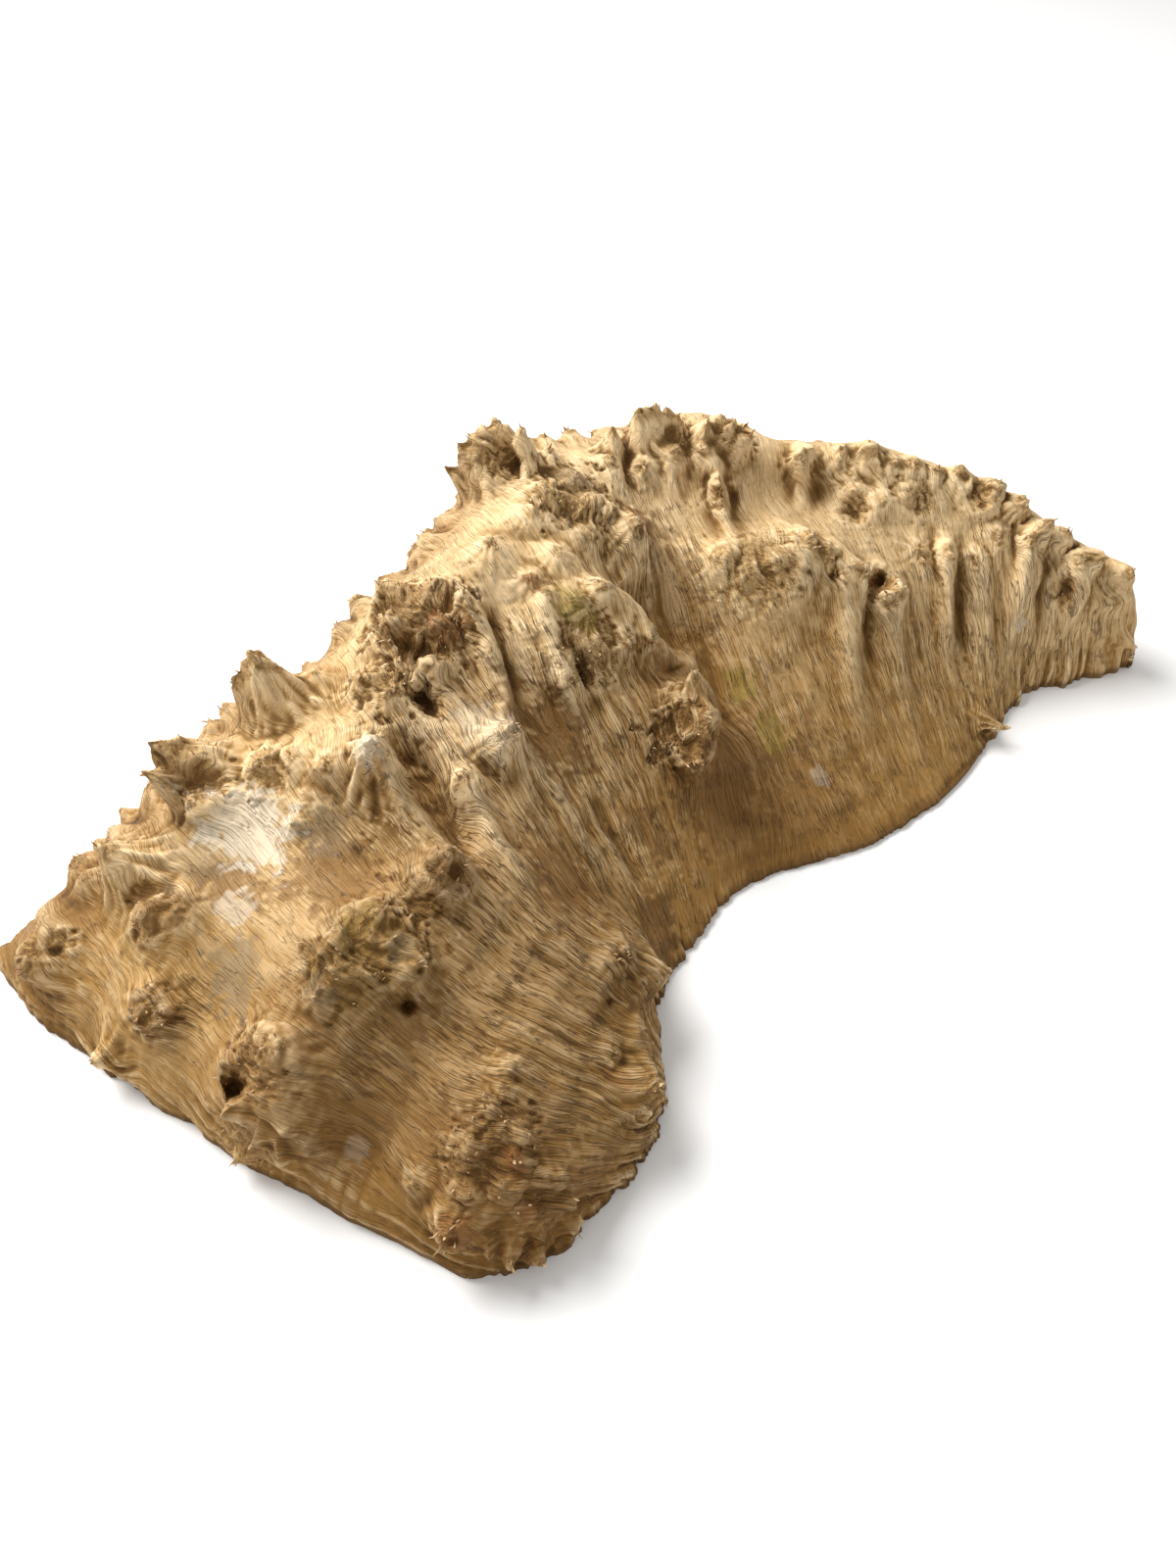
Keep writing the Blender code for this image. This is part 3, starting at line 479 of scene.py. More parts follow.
# The crumbly foot and the right flange of the near lobe
NEAR_FOOT_KNOBS = [
    Spur((500, 1130), 5, 9, 0.4),
    Spur((512, 1152), 4, 8, 0.4),
    Spur((534, 1157), 5, 7, 0.5),
    Spur((525, 1186), 5, 7, 0.4),
    Spur((501, 1168), 4, 6, 0.4),
    Spur((512, 1212), 4, 8, 0.4),
    Spur((521, 1088), 4, 8, 0.5),
    Spur((518, 1107), 4, 7, 0.5),
    Spur((472, 1222), 5, 9, 0.3),
    Spur((418, 1208), 4, 9, 0.3),
    Spur((450, 1278), 10, 15, 0.1, lean=(-6, 10)),
    Spur((474, 1262), 6, 9, 0.4),
    Spur((521, 1296), 7, 12, 0.1, lean=(0, 8)),
    Spur((557, 1298), 7, 11, 0.3, lean=(2, 9)),
    Spur((498, 1288), 6, 10, 0.4, lean=(0, 6)),
    Spur((571, 1204), 5, 8, 0.5),
    Spur((588, 1230), 5, 8, 0.5, lean=(3, 0)),
    Spur((546, 1240), 4, 6, 0.7),
    Spur((557, 1268), 5, 7, 0.6),
    Spur((596, 1262), 4, 10, 0.3),
    Spur((639, 970), 6, 12, 0.2),
    Spur((630, 1075), 4, 8, 0.5),
    Spur((686, 990), 6, 14, 0.1, lean=(6, 0)),
    Spur((680, 1115), 9, 16, 0.1, lean=(10, 4)),
]

# Crest and shoulder of the middle hump
MIDDLE_CREST_KNOBS = [
    Spur((404, 592), 8, 10, 0.4, lean=(-2, -4)),
    Spur((385, 592), 9, 12, 0.3, lean=(-6, -4)),
    Spur((438, 590), 8, 12, 0.4, lean=(0, -4)),
    Spur((422, 606), 6, 10, 0.4),
    Spur((452, 636), 6, 9, 0.5),
    Spur((430, 643), 5, 9, 0.5),
    Spur((392, 630), 6, 11, 0.4),
    Spur((440, 676), 7, 9, 0.6),
    Spur((364, 688), 8, 11, 0.5, lean=(-4, 0)),
    Spur((395, 705), 6, 10, 0.5),
    Spur((428, 700), 8, 9, 0.7),
    Spur((470, 606), 9, 11, 0.6, tail=2.5),
    Spur((526, 741), 12, 11, 0.55, tail=1.3, lean=(6, 0)),
    Spur((543, 588), 6, 10, 0.5),
    Spur((560, 600), 4, 10, 0.4),
    Spur((590, 612), 4, 12, 0.3),
    Spur((616, 594), 7, 10, 0.5),
    Spur((600, 668), 4, 12, 0.2),
    Spur((646, 655), 6, 10, 0.4),
    Spur((665, 655), 6, 9, 0.5),
    Spur((707, 679), 18, 13, 0.7, lean=(12, -2)),
    Spur((690, 700), 6, 10, 0.4),
    Spur((724, 724), 12, 12, 0.4, lean=(8, 0)),
    Spur((722, 750), 10, 11, 0.4, lean=(6, 0)),
    Spur((700, 756), 4, 9, 0.3),
    Spur((716, 776), 10, 11, 0.4, lean=(8, 2)),
    Spur((500, 660), 4, 8, 0.5),
    Spur((575, 700), 5, 10, 0.4),
]

# Shoulder and crown where the far part begins
FAR_SHOULDER_KNOBS = [
    Spur((450, 474), 14, 8, 0.7, lean=(-8, -2)),
    Spur((460, 452), 18, 10, 0.4, lean=(-8, -4)),
    Spur((482, 432), 20, 13, 0.25, lean=(-4, -8)),
    Spur((505, 427), 19, 12, 0.4, lean=(0, -8)),
    Spur((531, 433), 17, 8, 0.8, lean=(0, -8)),
    Spur((562, 452), 7, 7, 0.7, lean=(0, -4)),
    Spur((500, 549), 6, 9, 0.7, tail=2.0),
    Spur((553, 500), 5, 12, 0.3),
    Spur((543, 520), 4, 10, 0.3),
    Spur((589, 484), 5, 9, 0.4),
    Spur((604, 507), 5, 10, 0.4),
    Spur((654, 528), 11, 11, 0.5, tail=1.8, lean=(4, -3)),
    Spur((600, 545), 4, 10, 0.4),
    Spur((570, 560), 4, 10, 0.4),
    Spur((626, 520), 5, 9, 0.4),
    Spur((626, 432), 11, 9, 0.7, lean=(-2, -6)),
    Spur((650, 411), 16, 10, 0.5, lean=(0, -8)),
    Spur((670, 407), 17, 9, 0.7, lean=(0, -8)),
    Spur((680, 410), 14, 8, 0.7, lean=(0, -6)),
    Spur((694, 423), 9, 7, 0.8, lean=(0, -5)),
    Spur((724, 417), 15, 8, 0.9, lean=(0, -8)),
    Spur((736, 419), 13, 8, 0.6, lean=(0, -6)),
    Spur((752, 422), 15, 8, 0.6, lean=(2, -8)),
    Spur((764, 428), 15, 7, 0.9, lean=(3, -8)),
    Spur((770, 440), 15, 8, 0.6, lean=(6, -6)),
    Spur((655, 474), 6, 10, 0.4),
    Spur((624, 464), 6, 9, 0.6, tail=2.0),
    Spur((690, 455), 7, 10, 0.5, tail=2),
    Spur((732, 492), 7, 9, 0.6, tail=2.2),
    Spur((717, 452), 7, 9, 0.5, tail=2),
    Spur((738, 566), 5, 13, 0.2),
    Spur((762, 580), 4, 12, 0.2),
    Spur((795, 570), 5, 9, 0.5),
    Spur((832, 544), 10, 13, 0.4, tail=2.0, lean=(2, -4)),
    Spur((848, 556), 9, 10, 0.5, tail=2.5, lean=(4, -3)),
    Spur((855, 580), 7, 8, 0.6, tail=3),
    Spur((884, 578), 6, 9, 0.5, tail=2),
    Spur((908, 610), 7, 10, 0.3, tail=1.5),
]

# Top of the far slope, behind its big eye
FAR_TOP_KNOBS = [
    Spur((920, 598), 6, 8, 0.5, tail=2),
    Spur((815, 455), 12, 9, 0.6, tail=2.0, lean=(0, -4)),
    Spur((835, 455), 8, 8, 0.6, lean=(0, -3)),
    Spur((862, 456), 7, 9, 0.4),
    Spur((890, 452), 8, 12, 0.2, lean=(0, -2)),
    Spur((914, 470), 6, 9, 0.4),
    Spur((936, 470), 6, 10, 0.3),
    Spur((960, 478), 5, 8, 0.4),
    Spur((984, 477), 7, 10, 0.3),
]

# Crest of the far part, out to its blunt end
FAR_CREST_KNOBS = [
    Spur((1021, 492), 7, 9, 0.4, lean=(2, -2)),
    Spur((1048, 510), 8, 9, 0.4, lean=(4, -2)),
    Spur((870, 500), 4, 9, 0.4),
    Spur((900, 510), 4, 9, 0.4),
    Spur((935, 500), 4, 9, 0.4),
    Spur((1010, 515), 4, 9, 0.4),
    Spur((968, 556), 7, 9, 0.5, tail=2.5),
    Spur((994, 570), 5, 8, 0.5, tail=2.5),
    Spur((1052, 546), 7, 9, 0.5, tail=2.5),
    Spur((1080, 527), 11, 9, 0.5, lean=(2, -5)),
    Spur((1092, 540), 9, 8, 0.5, lean=(3, -3)),
    Spur((1100, 565), 9, 8, 0.5, tail=2.5, lean=(2, -2)),
    Spur((1132, 566), 9, 9, 0.4, lean=(2, -5)),
    Spur((1158, 582), 8, 9, 0.4, lean=(5, -4)),
    Spur((1141, 614), 4, 9, 0.4),
    Spur((1020, 545), 4, 9, 0.4, tail=2),
    Spur((940, 560), 5, 9, 0.4, tail=2.5),
    Spur((1032, 743), 9, 8, 0.8, lean=(10, 4)),
    Spur((1160, 660), 6, 9, 0.3, lean=(5, 2)),
]

# Borer holes and hollow eyes
PITS = [
    Spur((237, 1112), -16, 8.5, 0.0),
    Spur((415, 1027), -8, 4.5, 0.1),
    Spur((59, 970), -2.5, 3, 0.2),
    Spur((77, 952), -2, 2.5, 0.2),
    Spur((899, 594), -9, 6, 0.2),
    Spur((528, 476), -8, 7, 0.1),
    Spur((526, 744), -3, 2.5, 0.2),
    Spur((850, 588), -5, 6, 0.3),
    Spur((985, 489), -3, 5, 0.2),
    Spur((1003, 516), -2.5, 4, 0.2),
    Spur((871, 525), -2.5, 7, 0.2),
    Spur((143, 1040), -3, 5, 0.2),
    Spur((462, 888), -5, 6, 0.2),
    Spur((621, 1022), -2, 3, 0.2),
    Spur((747, 507), -4, 8, 0.2),
    Spur((1092, 600), -2, 6, 0.2),
    Spur((463, 1268), -3, 5, 0.2),
]

SPURS = (
    LEFT_EDGE_KNOBS
    + NEAR_CROWN_KNOBS
    + MOUND_KNOBS
    + HOLED_MOUND_KNOBS
    + NEAR_FOOT_KNOBS
    + MIDDLE_CREST_KNOBS
    + FAR_SHOULDER_KNOBS
    + FAR_TOP_KNOBS
    + FAR_CREST_KNOBS
)
EVEN_PART = 0.65  # share of a row's points that is spread evenly, the rest crowds to its feet
LEFT_STEEPNESS = 0.53  # power of the left flank's fall
NEAR_CURVE = (2.0, 1.6)  # power and root of the near end's rise
FAR_CURVE = (2.2, 2.2)  # power and root of the far end's rise
BOW_SKEW = 0.6  # draws a bowed row's bulge towards its left foot
SKIRT_PART = (0.34, 0.14)  # height share of a spur's skirt, for a round knob and added for a thorn
CORE_WIDTH = (0.36, -0.15)  # width of a spur's core, for a round knob and added for a thorn
CORE_POWER = (2.2, -0.9)  # how square a spur's core is, for a round knob and added for a thorn
LUMP_FALL = 1.5  # how soon a lump falls away from its middle
EYE_WIDTHS = (0.4, 0.62)  # widths of an eye's ridge and hollow, as shares of its radius
SEAM_TAPERS = (0.25, 0.5)  # shares of a rib over which its upper and lower ends fade
DEPTH_MISS = 60  # pixels of miss for each metre that a place lies farther from the eye
HIDDEN_MISS = 1000  # pixels of miss for a place that faces away from the eye
FACING = (2.0, 0.6)  # slope and start of the fade where the skin turns away from a spur's foot
RIM_TIGHTNESS = 1.2  # how much narrower a spur is where it crosses the rim
SPUR_FLARE = 1.9  # how much wider a spur's skirt is than its spread
PIT_FLARE = 1.3
UPHILL = 0.3  # a grain that rises more than this is followed backwards, down the back
UNEVENNESS = 1.8 * MM  # height of the bumps all over the skin
BUMPS = (  # width, share of the height and shift of each size of bump
    (40 * MM, 1.0, (0.0, 0.0, 0.0)),
    (17 * MM, 0.5, (5.0, 2.0, 9.0)),
    (8 * MM, 0.3, (1.0, 8.0, 3.0)),
)
BACK_SEED = 11
BACK_RIBS = 22
BACK_RIB_RISES = (2.5, 5.0)
BACK_RIB_SPREADS = (10, 16)
BACK_RIB_TOPS = (0.16, 0.24)
BACK_RIB_FEET = (0.01, 0.06)
BACK_CLUSTERS = 26
BACK_KNOB_RISE = 10
BACK_KNOB_SPREAD = 12
BACK_KNOB_SIZES = (0.6, 1.0)
BACK_KNOB_TAIL = 1.6
EVENING_PASSES = 80  # how strongly the fine skin's cells are evened out
BROKEN_REACH = 1.3  # share of a knob's reach over which its foot is uneven
BROKEN_SHARES = (1.5, 0.35)  # shares of ribs and of grit in the unevenness
RIB_COUNT = 2.4  # how many ribs run down a knob's flanks
RIB_LENGTH = 9 * MM
GRIT_SIZE = 3.2 * MM
KNOTTY = 0.6  # how broken an eye's skin is


def through_stations(rows: Array, share: Array) -> Array:
    """Smooth values at shares 0 to 1 of the way along rows, as a Catmull-Rom curve.

    Args:
        rows: Values at the stations, a row for each.
        share: Shares of the way.

    Returns:
        The values at those shares.
    """
    place = share * (len(rows) - 1)
    first = np.minimum(place.astype(int), len(rows) - 2)
    step = (place - first)[..., None]
    before = rows[np.maximum(first - 1, 0)]
    start = rows[first]
    end = rows[first + 1]
    after = rows[np.minimum(first + 2, len(rows) - 1)]
    bend = 2 * before - 5 * start + 4 * end - after
    turn = 3 * (start - end) + after - before
    return start + 0.5 * step * (end - before + step * (bend + step * turn))


def rounded(share: Array, power: float, root: float) -> Array:
    """Rises from 0 at share 0 to 1 at share 1, steep at first."""
    return (1 - (1 - np.clip(share, 0, 1)) ** power) ** (1 / root)


def loft(along: Array, across: Array) -> Array:
    """Points of the bare loft, before anything is raised from it.

    Args:
        along: Shares of the way from the near end to the far end.
        across: Shares of the way from the left rim to the right rim.

    Returns:
        An array of points of the same shape.
    """
    rows = np.array([station.numbers() for station in STATIONS], float)
    spine = through_stations(rows, np.linspace(0, 1, GUIDE_ALONG))
    middle = (spine[:, 0:2] + spine[:, 2:4]) / 2 * MM
    lengths = np.concatenate([[0], np.cumsum(np.linalg.norm(np.diff(middle, axis=0), axis=1))])
    length = np.interp(along, np.linspace(0, 1, GUIDE_ALONG), lengths)
    values = through_stations(rows, along)
    left = values[..., 0:2] * MM
    right = values[..., 2:4] * MM
    crest_at, crest, left_fullness, right_fullness, right_slope, bow = np.moveaxis(values[..., 4:10], -1, 0)
    share = EVEN_PART * across + (1 - EVEN_PART) * (0.5 - 0.5 * np.cos(np.pi * across))
    left_way = np.clip((crest_at - share) / crest_at, 0, 1)
    right_way = np.clip((share - crest_at) / (1 - crest_at), 0, 1)
    flanks = (1 - left_way**left_fullness) ** LEFT_STEEPNESS * (1 - right_way**right_fullness) ** right_slope
    near = rounded(length / NEAR_ROUNDING, *NEAR_CURVE)
    far = rounded((lengths[-1] - length) / FAR_ROUNDING, *FAR_CURVE)
    chord = right - left
    outward = np.stack([chord[..., 1], -chord[..., 0]], axis=-1)
    outward = outward / np.linalg.norm(chord, axis=-1, keepdims=True)
    bulge = share**BOW_SKEW
    plan = left + chord * share[..., None]
    plan = plan + outward * (bow * MM * 4 * bulge * (1 - bulge))[..., None]
    height = LIP + crest * MM * flanks * near * far
    return np.concatenate([plan, height[..., None]], axis=-1)


def peak(distance: Array, sharp: float) -> Array:
    """Height share of a spur: 1 at its apex, 0 from distance 1 on, with a wide low skirt.

    Args:
        distance: Distances from the apex, as shares of the spur's reach.
        sharp: 0 for a round knob, up to 1 for a thorn.

    Returns:
        The height shares.
    """
    distance = np.clip(distance, 0, 1)
    skirt = ((1 - distance) ** 2 * (1 + 2 * distance)) ** 2
    width = CORE_WIDTH[0] + CORE_WIDTH[1] * sharp
    power = CORE_POWER[0] + CORE_POWER[1] * sharp
    core = np.exp(-((distance / width) ** power)) * (1 - distance**4)
    skirt_part = SKIRT_PART[0] + SKIRT_PART[1] * sharp
    return skirt_part * skirt + (1 - skirt_part) * core


def even_shares(guide: Skin) -> tuple[Array, Array]:
    """Shares along and across that give the fine skin cells of about one size.

    Args:
        guide: The guide skin in its final shape.

    Returns:
        The shares along and the shares across, each on the fine skin's grid.
    """
    rows, points_across = guide.points.shape[:2]
    steps = blur(np.linalg.norm(np.diff(guide.points, axis=1), axis=2), EVENING_PASSES)
    reach = np.concatenate([np.zeros((rows, 1)), np.cumsum(steps, axis=1)], axis=1)
    across = np.zeros((rows, SKIN_ACROSS))
    for row in range(rows):
        wanted = np.linspace(0, reach[row, -1], SKIN_ACROSS)
        across[row] = np.interp(wanted, reach[row], np.arange(points_across))
    steps = blur(np.linalg.norm(np.diff(guide.points, axis=0), axis=2), EVENING_PASSES)
    row_numbers = np.arange(rows)
    fine_along = np.zeros((SKIN_ALONG, SKIN_ACROSS))
    fine_across = np.zeros((SKIN_ALONG, SKIN_ACROSS))
    for column in range(SKIN_ACROSS):
        left = np.minimum(across[:-1, column].astype(int), points_across - 2)
        part = across[:-1, column] - left
        line = steps[row_numbers[:-1], left] * (1 - part) + steps[row_numbers[:-1], left + 1] * part
        reach = np.concatenate([[0], np.cumsum(line)])
        fine_along[:, column] = np.interp(np.linspace(0, reach[-1], SKIN_ALONG), reach, row_numbers)
        fine_across[:, column] = np.interp(fine_along[:, column], row_numbers, across[:, column])
    return fine_along / (rows - 1), fine_across / (points_across - 1)


def blur(values: Array, passes: int = 1) -> Array:
    """Evens out an array over its first two axes, one cell further with each pass.

    Args:
        values: The array.
        passes: Number of passes.

    Returns:
        The evened array.
    """
    for _ in range(passes):
        padded = np.concatenate([values[:1], values, values[-1:]], axis=0)
        values = (padded[:-2] + 2 * padded[1:-1] + padded[2:]) / 4
        padded = np.concatenate([values[:, :1], values, values[:, -1:]], axis=1)
        values = (padded[:, :-2] + 2 * padded[:, 1:-1] + padded[:, 2:]) / 4
    return values


class Skin:
    """The top surface as a grid of points, with its normals and the way down its grain."""

    def __init__(self, along: Array, across: Array) -> None:
        """Lofts the skin.

        Args:
            along: Share of the way along for every grid point.
            across: Share of the way across for every grid point.
        """
        self.along = along
        self.across = across
        self.points = loft(along, across)
        self.knots = np.zeros(along.shape)
        self.brokenness = 0.0
        self.measure()

    def measure(self) -> None:
        """Works out the normals, the grain, what the sighting camera sees and the way to the rim."""
        along = np.gradient(self.points, axis=0)
        self.grain = np.gradient(self.points, axis=1)
        self.grain /= np.linalg.norm(self.grain, axis=2, keepdims=True) + 1e-12
        self.normals = np.cross(self.grain, along)
        self.normals /= np.linalg.norm(self.normals, axis=2, keepdims=True) + 1e-12
        self.normals *= np.sign(self.normals[..., 2].mean())
        self.seen = (self.normals * (np.array(SIGHTING.eye) - self.points)).sum(axis=2) > 0
        step = 4 * len(self.points) // GUIDE_ALONG
        sides = [self.points[0], self.points[-1], self.points[:, 0], self.points[:, -1]]
        rim = np.concatenate(sides)[::step]
        gaps = np.full(self.points.shape[:2], 1.0)
        for point in rim:
            gaps = np.minimum(gaps, np.linalg.norm(self.points[..., :2] - point[:2], axis=2))
        self.rim_gap = gaps
        self.inside = ease(gaps / RIM_FADE)

    def sight(self, pixel: Pixel, lift: float = 0.0) -> tuple[int, int]:
        """Grid place of the skin that shows at a pixel once it is lifted along its normal.

        Args:
            pixel: The pixel, across and down.
            lift: How far the skin is lifted.

        Returns:
            The row and the column.
        """
        across, down, depth = SIGHTING.project(self.points + self.normals * lift)
        miss = np.hypot(across - pixel[0], down - pixel[1])
        miss += DEPTH_MISS * (depth - depth.min()) + HIDDEN_MISS * ~self.seen
        return np.unravel_index(np.argmin(miss), miss.shape)

    def place_at(self, share: Share) -> tuple[int, int]:
        """Grid place at shares along and across the skin."""
        rows, points_across = self.points.shape[:2]
        return round(share[0] * (rows - 1)), round(share[1] * (points_across - 1))

    def anchor_at(self, place: tuple[int, int], apex: Array) -> Anchor:
        """Anchor of a spur that stands at a grid place.

        Args:
            place: Row and column of the foot.
            apex: Where the spur's tip ends.

        Returns:
            The anchor.
        """
        down = self.grain[place]
        if down[2] > UPHILL:
            down = -down
        return Anchor(self.points[place], self.normals[place], down, apex)

    def broken(self, offset: Array, distance: Array) -> Array:
        """Shares of a feature's reach, made uneven round its foot so that ribs run down its flanks.

        Args:
            offset: Ways from the feature's foot to every point.
            distance: Their lengths, as shares of the feature's reach.

        Returns:
            The uneven shares.
        """
        if not self.brokenness:
            return distance
        near = distance < BROKEN_REACH
        spot = offset[near]
        length = np.linalg.norm(spot, axis=1, keepdims=True) + 1e-9
        ribs = field_noise(spot / length * RIB_COUNT + spot / RIB_LENGTH, float(len(spot)))
        grit = field_noise(spot / GRIT_SIZE, 7.0)
        uneven = distance.copy()
        shares = BROKEN_SHARES[0] * ribs + BROKEN_SHARES[1] * grit
        uneven[near] *= 1 + self.brokenness * shares * ease(distance[near] * 5)
        return uneven

    def swell(self, foot: Array, lump: Lump) -> None:
        """Raises one broad lump.

        Args:
            foot: Middle of the lump.
            lump: Its rise and spread.
        """
        distance = np.linalg.norm(self.points - foot, axis=2) / (lump.spread * MM)
        share = np.exp(-LUMP_FALL * distance**2) * self.inside
        self.points = self.points + (lump.rise * MM * share)[..., None] * self.normals

    def crease(self, route: list[Array], seam: Seam | HiddenRib) -> None:
        """Raises one rib or sinks one valley, tapering to nothing at both ends.

        Args:
            route: Points that it passes through.
            seam: Its rise and spread.
        """
        nearest = np.full(self.points.shape[:2], 1.0)
        place = np.zeros(self.points.shape[:2])
        for number, (start, end) in enumerate(zip(route[:-1], route[1:])):
            run = end - start
            share = np.clip(((self.points - start) @ run) / (run @ run), 0, 1)
            distance = np.linalg.norm(self.points - start - share[..., None] * run, axis=2)
            place = np.where(distance < nearest, (number + share) / (len(route) - 1), place)
            nearest = np.minimum(nearest, distance)
        taper = ease(place / SEAM_TAPERS[0] + 0.25) * ease((1 - place) / SEAM_TAPERS[1])
        share = peak(nearest / (seam.spread * MM), 0.0) * taper * self.inside
        self.points = self.points + (seam.rise * MM * share)[..., None] * self.normals

    def ring(self, foot: Array, eye: Eye) -> None:
        """Raises the ridge of one eye and sinks its hollow.

        Args:
            foot: Middle of the eye.
            eye: Its sizes.
        """
        offset = self.points - foot
        distance = self.broken(offset, np.linalg.norm(offset, axis=2) / (eye.radius * MM))
        ridge = eye.ridge * np.exp(-(((distance - 1) / EYE_WIDTHS[0]) ** 2))
        hollow = eye.hollow * np.exp(-((distance / EYE_WIDTHS[1]) ** 2))
        self.points = self.points + ((ridge - hollow) * MM * self.inside)[..., None] * self.normals
        self.knots = np.maximum(self.knots, KNOTTY * np.exp(-((distance / 1.1) ** 4)))

    def raise_spurs(self, spurs: list[tuple[Anchor, Spur | HiddenSpur]], flare: float) -> None:
        """Pulls every spur's apex out to its place, and blends the spurs where they meet.

        Args:
            spurs: Every spur with its anchor.
            flare: How much wider a skirt is than its spur's spread.
        """
        total = np.zeros(self.points.shape)
        weight = np.full(self.points.shape[:2], 1e-9)
        for anchor, spur in spurs:
            offset = self.points - anchor.foot
            downhill = offset @ anchor.down
            stretch = np.where(downhill > 0, spur.tail, 1.0)
            sideways = np.maximum((offset**2).sum(axis=2) - downhill**2, 0)
            distance = np.sqrt(sideways + (downhill / stretch) ** 2) / (spur.spread * flare * MM)
            distance = self.broken(offset, distance)
            facing = np.clip(self.normals @ anchor.normal * FACING[0] + FACING[1], 0, 1)
            share = peak(distance * (1 + RIM_TIGHTNESS * (1 - self.inside)), spur.sharp) * facing
            total += (share**4)[..., None] * (anchor.apex - anchor.foot)
            weight += share**3
            self.knots = np.maximum(self.knots, ease((share - 0.5) / 0.4) * min(spur.rise / 7, 0.85))
        self.points = self.points + total / weight[..., None]

    def roughen(self) -> None:
        """Adds the uneven swelling of the whole skin."""
        bumps = [share * field_noise(self.points / width + np.array(shift)) for width, share, shift in BUMPS]
        rise = sum(bumps)
        self.points = self.points + (rise * UNEVENNESS)[..., None] * self.normals

    def settle(self) -> None:
        """Keeps every point of the skin above the thin lip."""
        self.points[..., 2] = np.maximum(self.points[..., 2], LIP)


# Strokes that follow the grain, each from its upper end to its lower end, as photograph pixels
STROKES = [
    ((50, 975), (100, 1040), (130, 1090)),
    ((120, 1000), (160, 1060), (185, 1130)),
    ((150, 955), (230, 985), (300, 1040)),
    ((180, 1030), (255, 1050)),
    ((110, 880), (170, 935), (230, 960)),
    ((215, 820), (250, 870), (290, 930)),
    ((300, 1090), (350, 1110), (400, 1150), (430, 1195)),
    ((420, 1010), (500, 1070), (560, 1105), (620, 1130)),
    ((470, 620), (500, 700), (545, 790), (590, 870), (640, 940)),
    ((420, 880), (470, 950), (530, 1010), (590, 1060), (650, 1090)),
    ((540, 640), (580, 730), (610, 820), (660, 920)),
    ((640, 690), (670, 760), (690, 860), (700, 920)),
    ((470, 1110), (540, 1140), (590, 1150), (635, 1125)),
    ((470, 1215), (540, 1200), (600, 1185), (640, 1150)),
    ((640, 980), (660, 1010), (675, 1060)),
    ((760, 560), (790, 640), (830, 740), (870, 830)),
    ((850, 560), (880, 660), (920, 780)),
    ((920, 560), (945, 660), (975, 760)),
    ((1000, 560), (1005, 640), (1010, 720)),
    ((1080, 560), (1075, 620), (1060, 680)),
    ((1130, 580), (1130, 640), (1135, 690)),
    ((700, 440), (705, 500), (720, 560), (750, 640)),
    ((560, 460), (600, 520), (650, 600), (700, 690), (740, 790)),
    ((740, 790), (745, 860), (740, 905)),
    ((800, 640), (840, 740), (890, 840)),
    ((395, 790), (420, 840), (460, 900)),
    ((330, 930), (380, 1020), (450, 1060)),
]
STROKE_REACH = 26 * MM  # how far a stroke turns the grain beside it
STROKE_SHARE = 0.04  # weight of the plain way across the cap where no stroke is near
SOLVER_STEPS = 500
ALIGNMENT = 4.0  # how much more the lines keep to the grain than to an even spacing


